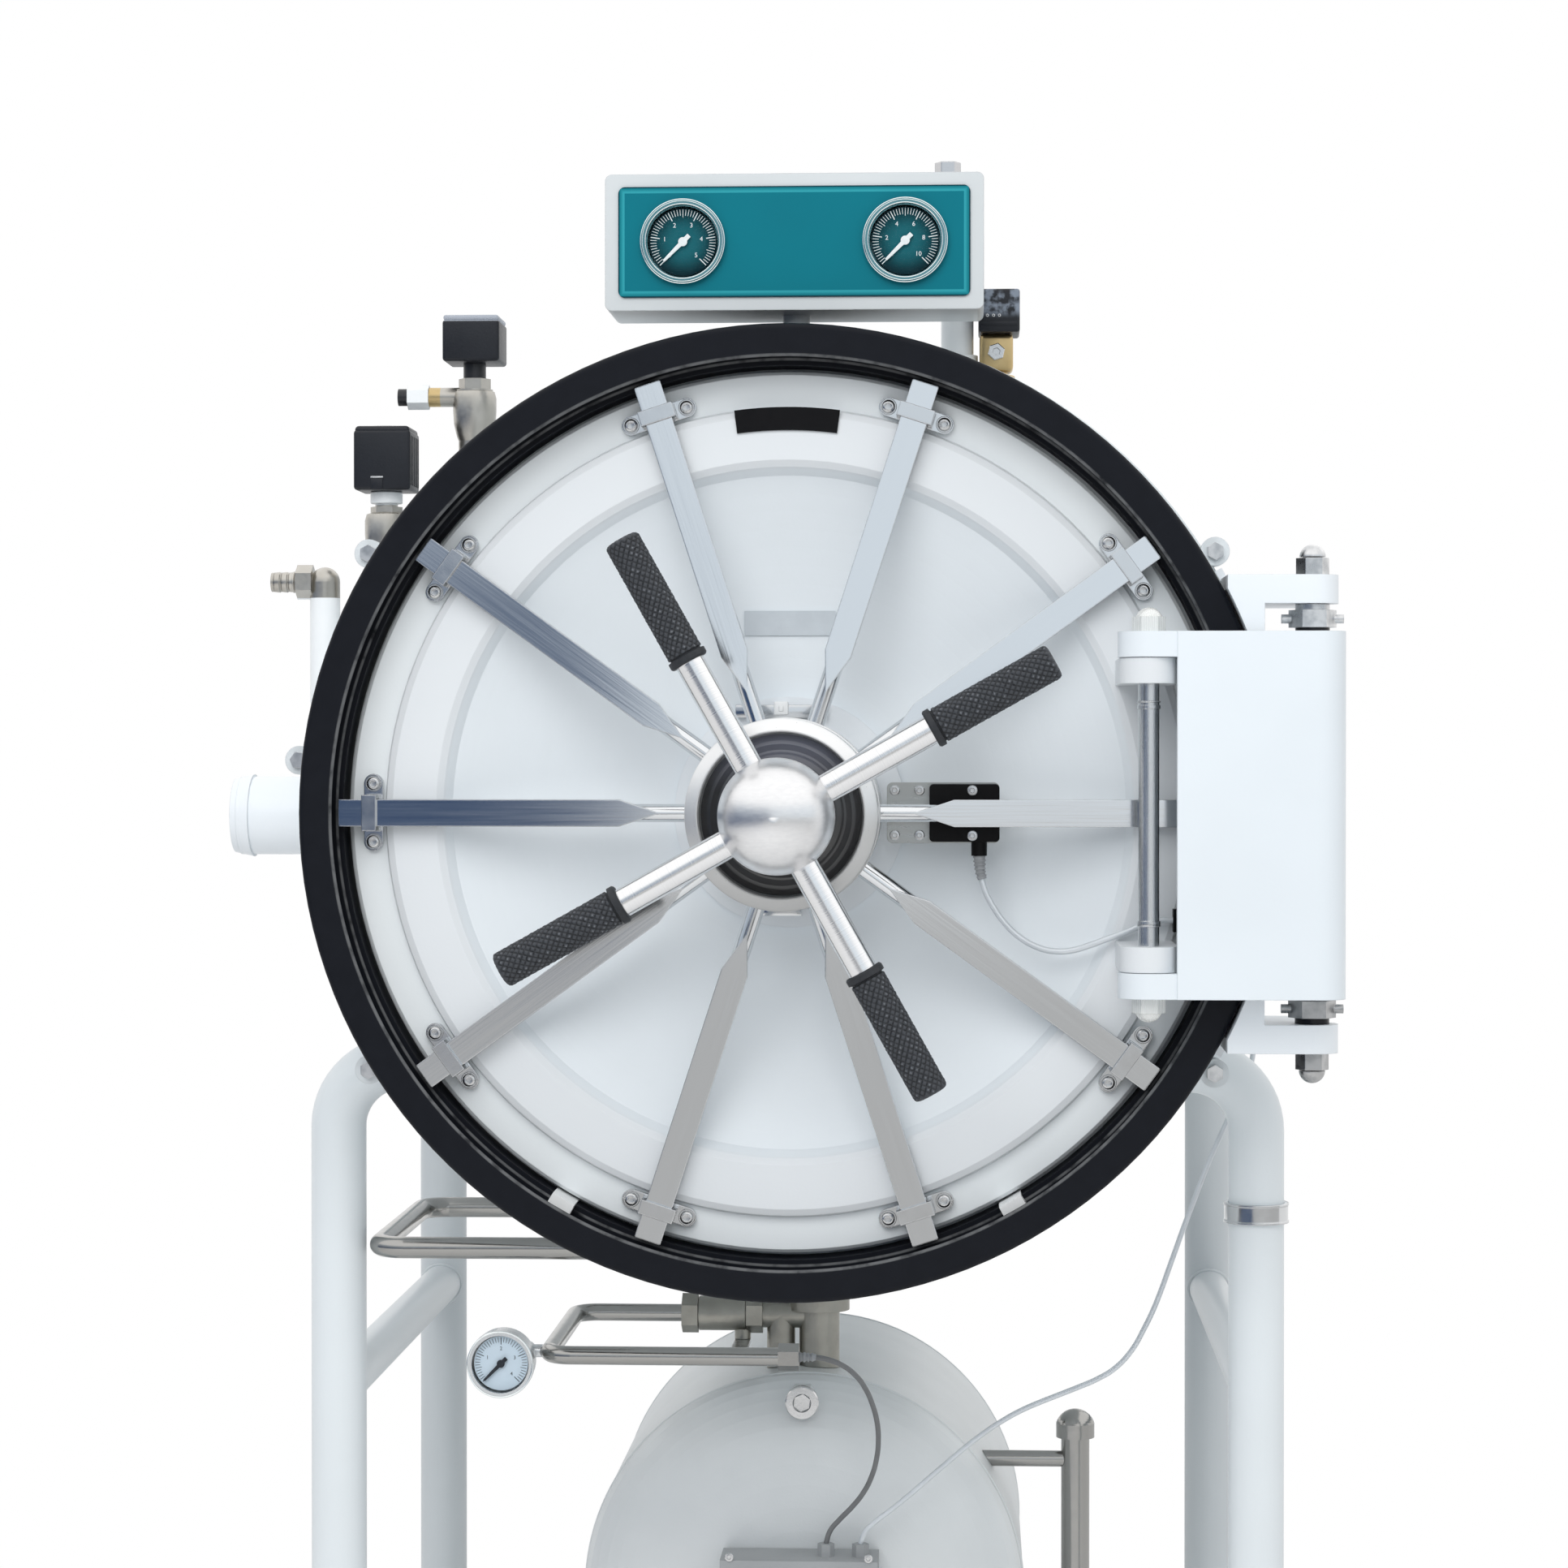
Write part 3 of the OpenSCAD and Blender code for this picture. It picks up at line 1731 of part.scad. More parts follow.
sensor_cable_r = 2.8;
thin_cable_r = 2.5;
sensor_route = [
    [170, 50, -38], [171, 50, -52], [175, 49, -68], [183, 48, -84], [194, 46, -99], [206, 44, -110],
    [220, 41, -118], [236, 38, -122], [252, 35, -121], [268, 32, -116], [284, 30, -110],
    [300, 29, -104], [314, 29, -98], [328, 29, -94], [340, 29, -94]
];
control_route = [
    [406, 222, -205], [414, 222, -205], [421, 222, -209], [425, 222, -217], [425, 222, -228],
    [422, 222, -241], [417, 222, -255], [411, 223, -269], [404, 224, -284], [397, 226, -300],
    [390, 228, -316], [383, 230, -333], [376, 232, -352], [369, 233, -371], [362, 234, -390],
    [355, 235, -410], [348, 236, -430], [341, 237, -450], [334, 238, -468], [325, 239, -487],
    [314, 241, -507], [298, 244, -525], [281, 247, -536], [264, 250, -544], [246, 254, -552],
    [228, 258, -560], [210, 263, -569], [192, 267, -580], [174, 271, -593], [156, 275, -608],
    [138, 278, -624], [120, 280, -640], [103, 281, -655], [86, 282, -669], [72, 283, -680],
    [62, 283, -690], [58, 283, -701]
];
probe_route = [
    [5, 160, -503], [19, 160, -503], [33, 163, -506], [46, 171, -513], [57, 183, -524],
    [65, 197, -538], [71, 212, -555], [75, 227, -574], [76, 241, -594], [74, 254, -614],
    [69, 264, -633], [61, 272, -650], [50, 278, -665], [38, 282, -678], [29, 283, -689], [25, 283, -701]
];

function tangent(route, i) =
    let (d = i == 0 ? route[1] - route[0] : i == len(route) - 1 ? route[i] - route[i - 1] : route[i + 1] - route[i - 1])
        d / norm(d);

// A closed tube with flat ends, one ring of sides at each route point
module cord(route, r, sides) {
    count = len(route);
    up = [0, 1, 0];
    rings = [
        for (i = [0:count - 1])
            let (t = tangent(route, i), u = cross(t, up) / norm(cross(t, up)), v = cross(t, u))
                for (k = [0:sides - 1])
                    let (a = 360 * k / sides)
                        route[i] + r * cos(a) * u + r * sin(a) * v
    ];
    walls = [
        for (i = [0:count - 2], k = [0:sides - 1])
            let (a = i * sides + k, b = i * sides + (k + 1) % sides)
                each [[a, b, b + sides], [a, b + sides, a + sides]]
    ];
    first = [for (k = [1:sides - 2]) [0, k + 1, k]];
    base = (count - 1) * sides;
    last = [for (k = [1:sides - 2]) [base, base + k, base + k + 1]];
    polyhedron(rings, concat(walls, first, last));
}

module sensor_cable() {
    color([0.6, 0.62, 0.63])
        vessel()
            cord(sensor_route, sensor_cable_r, 10);
}

module generator_cables() {
    color([0.6, 0.62, 0.63])
        vessel() {
            cord(control_route, thin_cable_r, 8);
            cord(probe_route, thin_cable_r, 8);
        }
}

chamber_shell();
jacket_shell();
insulation();
outer_casing();
rear_cover();
end_flange();
locking_ring();
door_gasket();
door_rest_pads();
tray_rails();
hinge_bracket();
main_pivot();
legs();
frame_rails();
flange_bolts();
generator_shell();
generator_cover();
heater_tubes();
terminal_box();
level_column();
drain_body();
steam_pipes();
side_port();
valve_bodies();
valve_coils();
panel_box();
panel_face();
gauge_cases();
gauge_dials();
gauge_glasses();
drain_lever();
left_pointer();
right_pointer();
drain_pointer();
swing_arm();
door_shaft();
door_plate();
hub_housing();
bar_guides();
guide_screws();
blank_plates();
sensor_bracket();
sensor_block();
spindle();
wheel_spokes();
wheel_grips();
cam_disc();
wheel_dish();
bar_01();
bar_02();
bar_03();
bar_04();
bar_05();
bar_06();
bar_07();
bar_08();
bar_09();
bar_10();
sensor_cable();
generator_cables();
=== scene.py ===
from math import cos, floor, pi, radians, sin, sqrt

import bmesh
import bpy
from mathutils import Matrix, Vector, noise as grain


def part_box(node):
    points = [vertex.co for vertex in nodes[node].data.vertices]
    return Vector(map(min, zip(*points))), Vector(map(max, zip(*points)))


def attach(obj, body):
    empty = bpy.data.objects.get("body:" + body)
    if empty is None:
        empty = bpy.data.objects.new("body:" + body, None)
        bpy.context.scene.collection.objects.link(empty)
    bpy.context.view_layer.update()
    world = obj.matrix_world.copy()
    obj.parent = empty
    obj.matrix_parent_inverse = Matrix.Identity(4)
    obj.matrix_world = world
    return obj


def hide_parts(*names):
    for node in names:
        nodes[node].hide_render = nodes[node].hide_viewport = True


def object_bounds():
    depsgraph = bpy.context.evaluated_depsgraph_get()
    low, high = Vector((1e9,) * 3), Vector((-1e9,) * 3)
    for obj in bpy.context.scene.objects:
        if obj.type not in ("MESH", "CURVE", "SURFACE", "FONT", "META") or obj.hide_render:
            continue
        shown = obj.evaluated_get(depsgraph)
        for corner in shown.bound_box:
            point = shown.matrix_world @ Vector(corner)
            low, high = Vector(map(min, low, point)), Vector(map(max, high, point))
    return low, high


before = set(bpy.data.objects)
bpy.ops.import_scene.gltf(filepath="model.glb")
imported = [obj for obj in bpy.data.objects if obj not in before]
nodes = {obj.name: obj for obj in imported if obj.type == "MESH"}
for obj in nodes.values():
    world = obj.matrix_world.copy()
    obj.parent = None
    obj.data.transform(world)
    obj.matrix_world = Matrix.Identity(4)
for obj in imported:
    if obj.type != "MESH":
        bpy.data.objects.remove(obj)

cad_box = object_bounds()


# The camera stands a little to the right of the door's axis, at chest height. A long lens keeps the
# ring round.
camera_data = bpy.data.cameras.new("camera")
camera_data.lens = 84
camera_data.sensor_width = 36
camera = bpy.data.objects.new("camera", camera_data)
camera.location = (0.161, -3.720, 1.203)
camera.rotation_euler = (radians(90 - 0.483), 0, radians(2.895))
bpy.context.collection.objects.link(camera)
bpy.context.scene.camera = camera


# Three leads: the door sensor's silver-grey screened lead, which sags from the sensor to a clip on the
# door, and two thin leads at the back of the frame, from the casing and the drain's probe down to the
# generator's terminal box. Each is extruded jacket over wire, with a moulded boot where it leaves.
front_y, axis_z = 520, 1150


def at(x, y, z):
    """Millimetres from the middle of the ring's front, as metres of the frame."""
    return Vector((x / 1000, (y - front_y) / 1000, (z + axis_z) / 1000))


def shade(red, green, blue):
    """A colour as it shows on a screen, 0 to 255, in the linear light that shaders use."""
    parts = [part / 255 for part in (red, green, blue)]
    linear = [part / 12.92 if part < 0.0404 else ((part + 0.055) / 1.055) ** 2.4 for part in parts]
    return (*linear, 1)


class Wire:
    """One socket of a node tree. Plain arithmetic on it adds Math nodes."""

    def __init__(self, tree, socket=None):
        self.tree = tree
        self.socket = socket

    def node(self, kind, settings=(), values=(), out=0):
        """A shader node: settings first, then the values or wires of its sockets."""
        made = self.tree.nodes.new("ShaderNode" + kind)
        for name, value in dict(settings).items():
            setattr(made, name, value)
        for name, value in dict(values).items():
            if isinstance(value, Wire):
                self.tree.links.new(value.socket, made.inputs[name])
            else:
                made.inputs[name].default_value = value
        return None if out is None else Wire(self.tree, made.outputs[out])

    def other(self, name):
        return Wire(self.tree, self.socket.node.outputs[name])

    def math(self, operation, *values, clamp=False):
        return self.node("Math", {"operation": operation, "use_clamp": clamp}, dict(enumerate(values)))

    def mix(self, factor, low, high):
        return self.node("Mix", {"data_type": "RGBA"}, {0: factor, 6: low, 7: high}, out=2)

    def root(self):
        return self.math("SQRT", self)

    def off(self, middle):
        """How far the wire is from a middle, on either side."""
        return self.math("ABSOLUTE", self - middle)

    def larger(self, other):
        return self.math("MAXIMUM", self, other)

    def step(self, low, high):
        """Rises smoothly from 0 to 1 while the wire goes from low to high."""
        settings = {"interpolation_type": "SMOOTHSTEP"}
        return self.node("MapRange", settings, {"Value": self, "From Min": low, "From Max": high})

    def __add__(self, other):
        return self.math("ADD", self, other)

    def __radd__(self, other):
        return self.math("ADD", other, self)

    def __sub__(self, other):
        return self.math("SUBTRACT", self, other)

    def __rsub__(self, other):
        return self.math("SUBTRACT", other, self)

    def __mul__(self, other):
        return self.math("MULTIPLY", self, other)

    def __rmul__(self, other):
        return self.math("MULTIPLY", other, self)

    def __truediv__(self, other):
        return self.math("DIVIDE", self, other)

    def __pow__(self, other):
        return self.math("POWER", self, other)

    def __gt__(self, other):
        return self.math("GREATER_THAN", self, other)

    def __lt__(self, other):
        return self.math("LESS_THAN", self, other)


def new_finish(name):
    """An empty material, and the wire that its nodes start from."""
    material = bpy.data.materials.new(name)
    material.use_nodes = True
    material.node_tree.nodes.clear()
    return material, Wire(material.node_tree)


def place_on(start):
    """The place on the object in metres: the wire is X, and its others are Y and Z."""
    return start.node("SeparateXYZ", {}, {0: start.node("TexCoord", out="Object")})


def from_axis(place):
    """The distance in metres from the door's axis."""
    up = place.other("Z") - axis_z / 1000
    return ((place * place) + up ** 2.0).root()


def close(start, values, height=None, depth=0.0005, soft_edge=0.0):
    """Ends a material in a Principled shader. The height wire is a relief of that depth in metres."""
    values = dict(values)
    if soft_edge:
        values["Normal"] = start.node("Bevel", {"samples": 4}, {"Radius": soft_edge})
    if height is not None:
        relief = {"Strength": 1.0, "Distance": depth, "Height": height}
        if soft_edge:
            relief["Normal"] = values["Normal"]
        values["Normal"] = start.node("Bump", {}, relief)
    shader = start.node("BsdfPrincipled", {}, values)
    start.node("OutputMaterial", {}, {"Surface": shader}, out=None)


def speckle(start, scale, detail=2.0, stretch=(1, 1, 1), turn=0.0):
    """Noise in the object's own metres, turned about the door's axis and then stretched."""
    place = start.node("TexCoord", out="Object")
    if turn:
        place = start.node("Mapping", {}, {"Vector": place, "Location": (0, 0, -axis_z / 1000)})
        place = start.node("Mapping", {}, {"Vector": place, "Rotation": (0, turn, 0)})
    place = start.node("Mapping", {}, {"Vector": place, "Scale": stretch})
    return start.node("TexNoise", {}, {"Vector": place, "Scale": scale, "Detail": detail})


def piece(name, grown, material, body):
    """Closes a bmesh into a smooth-shaded piece that rides on a body."""
    bmesh.ops.remove_doubles(grown, verts=grown.verts, dist=2e-6)
    bmesh.ops.recalc_face_normals(grown, faces=grown.faces)
    mesh = bpy.data.meshes.new(name)
    grown.to_mesh(mesh)
    grown.free()
    mesh.shade_smooth()
    mesh.set_sharp_from_angle(angle=radians(35))
    mesh.materials.append(material)
    made = bpy.data.objects.new(name, mesh)
    bpy.context.collection.objects.link(made)
    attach(made, body)
    return made


def swept(grown, path, radii, steps=20):
    """Adds a round form along a path in mm, with a radius in mm at each of its points."""
    points = [at(*point) for point in path]
    rings = []
    side = None
    for i, point in enumerate(points):
        ahead = (points[min(i + 1, len(points) - 1)] - points[max(i - 1, 0)]).normalized()
        if side is None:
            side = ahead.orthogonal().normalized()
        side = (side - ahead * side.dot(ahead)).normalized()
        across = ahead.cross(side)
        radius = radii[i] / 1000
        turns = [2 * pi * k / steps for k in range(steps)]
        rings.append([grown.verts.new(point + radius * (side * cos(a) + across * sin(a))) for a in turns])
    for low, high in zip(rings, rings[1:]):
        for k in range(steps):
            grown.faces.new((low[k], low[(k + 1) % steps], high[(k + 1) % steps], high[k]))
    grown.faces.new(rings[0])
    grown.faces.new(rings[-1])


def along(route, spacing):
    """Evenly spaced points in mm along a route."""
    points = [Vector(route[0])]
    for low, high in zip(route, route[1:]):
        span = Vector(high) - Vector(low)
        count = max(1, round(span.length / spacing))
        points += [Vector(low) + span * (k / count) for k in range(1, count + 1)]
    return points


def boot(name, route, lengths, radius, material, body, ribs=5):
    """A tapered moulded boot with ribs, round the first lengths mm of a route."""
    points = []
    gone = 0
    for low, high in zip(along(route, 0.5), along(route, 0.5)[1:]):
        gone += (high - low).length
        if gone > lengths:
            break
        points.append(low)
    radii = []
    for i in range(len(points)):
        part = i / (len(points) - 1)
        rib = 0.45 * (1 if sin(2 * pi * ribs * part) > 0 else -1) if 0.08 < part < 0.9 else 0
        radii.append(radius[0] + (radius[1] - radius[0]) * part + rib)
    grown = bmesh.new()
    swept(grown, points, radii)
    return piece(name, grown, material, body)


jacket, start = new_finish("cable_jacket")
weave = speckle(start, 900, 2)
cloud = speckle(start, 40, 2)
colors = start.mix(cloud, shade(204, 209, 213), shade(222, 227, 231))
close(start, {"Base Color": colors, "Metallic": 0.45, "Roughness": weave * 0.2 + 0.24}, weave, 0.0002)
dark_jacket, start = new_finish("dark_cable_jacket")
cloud = speckle(start, 60, 2)
colors = start.mix(cloud, shade(96, 97, 98), shade(122, 124, 126))
close(start, {"Base Color": colors, "Roughness": cloud * 0.2 + 0.35}, speckle(start, 700), 0.0002)
boot_grey, start = new_finish("boot_rubber")
dust = speckle(start, 300, 3)
colors = start.mix(dust, shade(128, 131, 134), shade(158, 161, 164))
close(start, {"Base Color": colors, "Roughness": dust * 0.2 + 0.5}, dust, 0.0002)


def lead(name, route, radius, material, body, node):
    """One cord through its route's points."""
    curve = bpy.data.curves.new(name, "CURVE")
    curve.dimensions = "3D"
    curve.bevel_depth = radius / 1000
    curve.bevel_resolution = 5
    curve.use_fill_caps = True
    curve.resolution_u = 6
    line = curve.splines.new("BEZIER")
    line.bezier_points.add(len(route) - 1)
    for knot, point in zip(line.bezier_points, route):
        knot.co = at(*point)
        knot.handle_left_type = "AUTO"
        knot.handle_right_type = "AUTO"
    curve.materials.append(material)
    made = bpy.data.objects.new(name, curve)
    bpy.context.collection.objects.link(made)
    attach(made, body)
    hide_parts(node)
    length = sum((at(*high) - at(*low)).length for low, high in zip(route, route[1:]))
    at(*route[0])


sensor_route = [
    (170, 50, -38), (171, 50, -52), (175, 49, -68), (183, 48, -84), (194, 46, -99), (206, 44, -110),
    (220, 41, -118), (236, 38, -122), (252, 35, -121), (268, 32, -116), (284, 30, -110), (300, 29, -104),
    (314, 29, -98), (328, 29, -94), (340, 29, -94)]
sensor_boot = boot("sensor_boot", sensor_route, 22, (5.6, 4.0), boot_grey, "door", ribs=6)
lead("sensor_lead", sensor_route, 2.8, jacket, "door", "sensor_cable")

control_route = [
    (406, 222, -205), (414, 222, -205), (421, 222, -209), (425, 222, -217), (425, 222, -228),
    (422, 222, -241), (417, 222, -255), (411, 223, -269), (404, 224, -284), (397, 226, -300),
    (390, 228, -316), (383, 230, -333), (376, 232, -352), (369, 233, -371), (362, 234, -390),
    (355, 235, -410), (348, 236, -430), (341, 237, -450), (334, 238, -468), (325, 239, -487),
    (314, 241, -507), (298, 244, -525), (281, 247, -536), (264, 250, -544), (246, 254, -552),
    (228, 258, -560), (210, 263, -569), (192, 267, -580), (174, 271, -593), (156, 275, -608),
    (138, 278, -624), (120, 280, -640), (103, 281, -655), (86, 282, -669), (72, 283, -680),
    (62, 283, -690), (58, 283, -701)]
control_boot = boot("control_boot", control_route, 9, (4.4, 3.1), boot_grey, "root", ribs=3)
lead("control_lead", control_route, 2.5, jacket, "root", "generator_cables")

probe_route = [
    (5, 160, -503), (19, 160, -503), (33, 163, -506), (46, 171, -513), (57, 183, -524), (65, 197, -538),
    (71, 212, -555), (75, 227, -574), (76, 241, -594), (74, 254, -614), (69, 264, -633), (61, 272, -650),
    (50, 278, -665), (38, 282, -678), (29, 283, -689), (25, 283, -701)]
probe_boot = boot("probe_boot", probe_route, 16, (4.6, 3.2), boot_grey, "root", ribs=4)
lead("probe_lead", probe_route, 2.5, dark_jacket, "root", "generator_cables")


# The studio: a white surround that lights the object evenly, a dark blue card on the left behind the
# camera and a grey card low behind it, which the bright metal reflects. A soft lamp hangs on the upper
# left. The floor is pale near the object and fades into the white surround.
studio = bpy.data.worlds.new("studio")
bpy.context.scene.world = studio
studio.use_nodes = True
bpy.context.scene.view_settings.view_transform = "Standard"
studio.node_tree.nodes.clear()
start = Wire(studio.node_tree)
direction = start.node("TexCoord", out="Generated")
east = start.node("SeparateXYZ", {}, {0: direction})
south = 0 - east.other("Y")
rise = east.other("Z")
slant = east / south.larger(0.02)
front = south.step(0.0, 0.12)
reach = slant.math("MINIMUM", slant * -1, 0.6)
grey_card = rise.step(-0.30, -0.22) * (1 - rise.step(-0.042, -0.014)) * front
blue_card = (1 - slant.step(-0.097, -0.087)) * (rise + (reach - 0.1) * 0.4).step(-0.046, -0.034)
blue_card = blue_card * (1 - rise.step(0.2, 0.32)) * south.step(-0.45, -0.2)
blue_card = blue_card * (1 - rise.step(0.015, 0.085) * 0.5)
blue_card = blue_card * (1 - (rise + (slant + 0.096) * 3).step(0.045, 0.06))
top = rise.step(0.15, 0.5)
sky = start.mix(top, (1, 1, 1, 1), (1.32, 1.32, 1.32, 1))
sky = start.mix(front * rise.step(-0.03, 0.0) * (1 - rise.step(0.2, 0.4)), sky, (0.89, 0.97, 1.04, 1))
cards = start.mix(grey_card, sky, (0.58, 0.58, 0.575, 1))
cards = start.mix(blue_card, cards, (0.05, 0.09, 0.18, 1))
ray = start.node("LightPath")
direct = ray.larger(ray.other("Is Transmission Ray"))
seen = start.mix(direct, cards, (1, 1, 1, 1))
level = direct.larger(ray.other("Is Glossy Ray"))
air = start.node("Background", {}, {"Color": seen, "Strength": level * 0.31 + 0.69})
start.node("OutputWorld", {}, {"Surface": air}, out=None)

lamp_data = bpy.data.lights.new("soft_lamp", "AREA")
lamp_data.shape = "DISK"
lamp_data.size = 2.8
lamp_data.energy = 58
lamp = bpy.data.objects.new("soft_lamp", lamp_data)
lamp.location = (-0.5, -3.2, 2.95)
lamp.rotation_euler = (Vector((0, -0.4, 1.1)) - lamp.location).to_track_quat("-Z", "Y").to_euler()
lamp.visible_glossy = False
bpy.context.collection.objects.link(lamp)

floor_finish, start = new_finish("pale_floor")
place = start.node("TexCoord", out="Object")
spread = start.node("VectorMath", {"operation": "LENGTH"}, {0: place}, out="Value")
ray = start.node("LightPath")
watched = ray.larger(ray.other("Is Transmission Ray"))
matt = start.node("BsdfDiffuse", {}, {"Color": (0.86, 0.86, 0.86, 1)})
white = start.node("Emission", {}, {"Color": (1, 1, 1, 1), "Strength": 1.0})
blend = start.node("MixShader", {}, {0: watched * spread.step(0.7, 1.7), 1: matt, 2: white})
start.node("OutputMaterial", {}, {"Surface": blend}, out=None)
grown = bmesh.new()
bmesh.ops.create_circle(grown, cap_ends=True, segments=64, radius=4.2)
floor_mesh = bpy.data.meshes.new("floor")
grown.to_mesh(floor_mesh)
grown.free()
floor_mesh.materials.append(floor_finish)
ground = bpy.data.objects.new("floor", floor_mesh)
ground.location = (0, 0, cad_box[0][2] - 0.0005)
bpy.context.collection.objects.link(ground)


# The pressure chamber is a rolled and welded stainless shell with a dished end, polished inside. Its
# steam jacket is plain carbon steel and stays out of sight, as do the mineral wool and the tray rails.
def dress(material, *names):
    """Gives CAD nodes a finish."""
    for name in names:
        nodes[name].material_slots[0].material = material


def steel(name, color, rough, stretch=(60, 60, 60), relief=0.00008, turn=0.0, cloudy=0.08, edge=0.0):
    """Bright steel with the fine lines of its grinding or drawing, turned about the door's axis."""
    material, start = new_finish(name)
    lines = speckle(start, 1, 4, stretch, turn)
    cloud = speckle(start, 9, 2)
    tone = (lines - 0.5) * 0.25 + (cloud - 0.5) * cloudy
    low = tuple(0.82 * c for c in color[:3]) + (1,)
    colors = start.mix(tone.math("ADD", tone, 0.5, clamp=True), low, color)
    ground_lines = (lines * 0.9 + cloud * 0.2) * rough + rough * 0.45
    close(start, {"Base Color": colors, "Metallic": 1.0, "Roughness": ground_lines}, lines, relief, edge)
    return material


shell_steel = steel("brushed_shell", (0.56, 0.57, 0.58, 1), 0.28, (30, 500, 30))
dress(shell_steel, "chamber_shell", "tray_rails")

mill_steel, start = new_finish("mill_steel")
rust = speckle(start, 25, 5)
colors = start.mix(rust, shade(70, 74, 80), shade(112, 104, 98))
close(start, {"Base Color": colors, "Metallic": 0.7, "Roughness": rust * 0.3 + 0.4}, rust, 0.0006)
dress(mill_steel, "jacket_shell")

wool, start = new_finish("mineral_wool")
fibres = speckle(start, 1, 5, (260, 60, 260))
colors = start.mix(fibres, shade(150, 132, 86), shade(214, 196, 142))
close(start, {"Base Color": colors, "Roughness": 0.95}, fibres, 0.004)
dress(wool, "insulation")


# The casing, flange, hinge, legs and door wear stoved white enamel: a cloudy tone, a fine orange peel
# in the gloss, and soft edges where the paint has run thin. Rolled bands cover the casing's seams.
def enamel(name, color, rough=0.36, peel=0.00006, painted_rear_shade=0.0):
    """Stoved enamel, with painted shade that darkens it towards the back by that share."""
    material, start = new_finish(name)
    cloud = speckle(start, 5, 3)
    skin = speckle(start, 330, 2)
    low = tuple(0.955 * c for c in color[:3]) + (1,)
    colors = start.mix(cloud.step(0.3, 0.7), low, color)
    depth = place_on(start).other("Y")
    # Painted shade: darker towards the back, where the vessel above shades the rear legs.
    colors = start.mix(depth.step(-0.30, 0.35) * painted_rear_shade, colors, (0.25, 0.27, 0.28, 1))
    close(start, {"Base Color": colors, "Roughness": (cloud - 0.5) * 0.12 + rough}, skin, peel, 0.0012)
    return material


body_white = enamel("white_enamel", shade(225, 231, 234))
# A lighter copy of the white enamel for the hinge bracket and the side port: painted light, as these parts
# stand in brighter light.
lit_copy_white = enamel("lit_copy_enamel", shade(238, 243, 247))
leg_white = enamel("leg_enamel", shade(226, 232, 235), painted_rear_shade=0.28)
dress(body_white, "outer_casing", "rear_cover", "end_flange")
dress(leg_white, "legs", "frame_rails")
dress(lit_copy_white, "hinge_bracket", "side_port")


def turned(grown, profile, place, axis=(0, -1, 0), steps=40, phase=0.0):
    """Adds a turned form: (radius, height) in mm along an axis from a place. Six steps give a hexagon."""
    stance = Vector(axis).to_track_quat("Z", "Y").to_matrix()
    rings = []
    for radius, height in profile:
        if radius == 0:
            spots = [Vector((0, 0, height))]
        else:
            turns = [phase + 2 * pi * k / steps for k in range(steps)]
            spots = [Vector((radius * cos(a), radius * sin(a), height)) for a in turns]
        rings.append([grown.verts.new(at(*place) + stance @ spot / 1000) for spot in spots])
    for low, high in zip(rings, rings[1:]):
        for k in range(steps):
            turns = (k, (k + 1) % steps)
            corners = [low[j % len(low)] for j in turns] + [high[j % len(high)] for j in reversed(turns)]
            corners = list(dict.fromkeys(corners))
            if len(corners) > 2:
                grown.faces.new(corners)


def block(grown, low, high, soft=0.8, segments=2):
    """Adds a box between two corners in mm, with its edges rounded."""
    made = bmesh.ops.create_cube(grown, size=1)["verts"]
    middle = (Vector(low) + Vector(high)) / 2
    size = Vector(high) - Vector(low)
    for vert in made:
        vert.co = middle + Vector([size[i] * vert.co[i] for i in range(3)])
    edges = list(dict.fromkeys(edge for vert in made for edge in vert.link_edges))
    rounded = bmesh.ops.bevel(grown, geom=edges, offset=soft, segments=segments, affect="EDGES",
                              profile=0.5)
    for vert in {vert for face in rounded["faces"] for vert in face.verts}:
        vert.co = at(*vert.co)


def ring_bead(grown, radius, place, thick, axis=(0, -1, 0), steps=96, sides=8):
    """Adds a round bead, such as a weld or a rolled edge."""
    turns = [2 * pi * k / sides for k in range(sides + 1)]
    turned(grown, [(radius + thick * cos(a), thick * sin(a)) for a in turns], place, axis, steps)


def hex_screw(grown, place, radius, axis=(0, -1, 0), phase=0.0):
    """Adds a round screw head with a hexagon socket."""
    r = radius
    turned(grown, [(r, 0), (r, 0.32 * r), (0.86 * r, 0.47 * r), (0.5 * r, 0.5 * r)], place, axis, 24)
    turned(grown, [(0.5 * r, 0.5 * r), (0.45 * r, 0.1 * r), (0, 0.08 * r)], place, axis, 6, phase)


band_in, band_out = 440.1, 441.6
seam_band = [(band_in, -7), (band_out, -5.5), (band_out, 5.5), (band_in, 7), (band_in, -7)]
grown = bmesh.new()
for seam_y in (400, 700, 1000):
    turned(grown, seam_band, (0, seam_y, 0), steps=160)
piece("casing_bands", grown, body_white, "root")

leg_place, leg_ends, leg_radius = 425, (180, 860), 25.5
rail_radius, rail_heights, cross_rails = 21, (-537, -1030), (450, 680, 860)
bead_radius, bead_out, bead_steps = 2.4, 0.6, 36
grown = bmesh.new()
turns = [2 * pi * k / bead_steps for k in range(bead_steps + 1)]
for side in (-1, 1):
    for height in rail_heights:
        for leg_y, inward in zip(leg_ends, (1, -1)):
            bead = []
            for a in turns:
                flat = (rail_radius + bead_out) * cos(a)
                deep = sqrt(leg_radius ** 2 - flat ** 2)
                lift = (rail_radius + bead_out) * sin(a)
                bead.append((side * leg_place + flat, leg_y + inward * deep, height + lift))
            swept(grown, bead, [bead_radius] * len(bead), 8)
    for rail_y in cross_rails:
        bead = []
        for a in turns:
            x = side * (leg_place - rail_radius * abs(sin(a)))
            bead.append((x, rail_y + rail_radius * cos(a), rail_heights[1] + rail_radius * sin(a)))
        swept(grown, bead, [bead_radius] * len(bead), 8)
piece("frame_welds", grown, leg_white, "root")
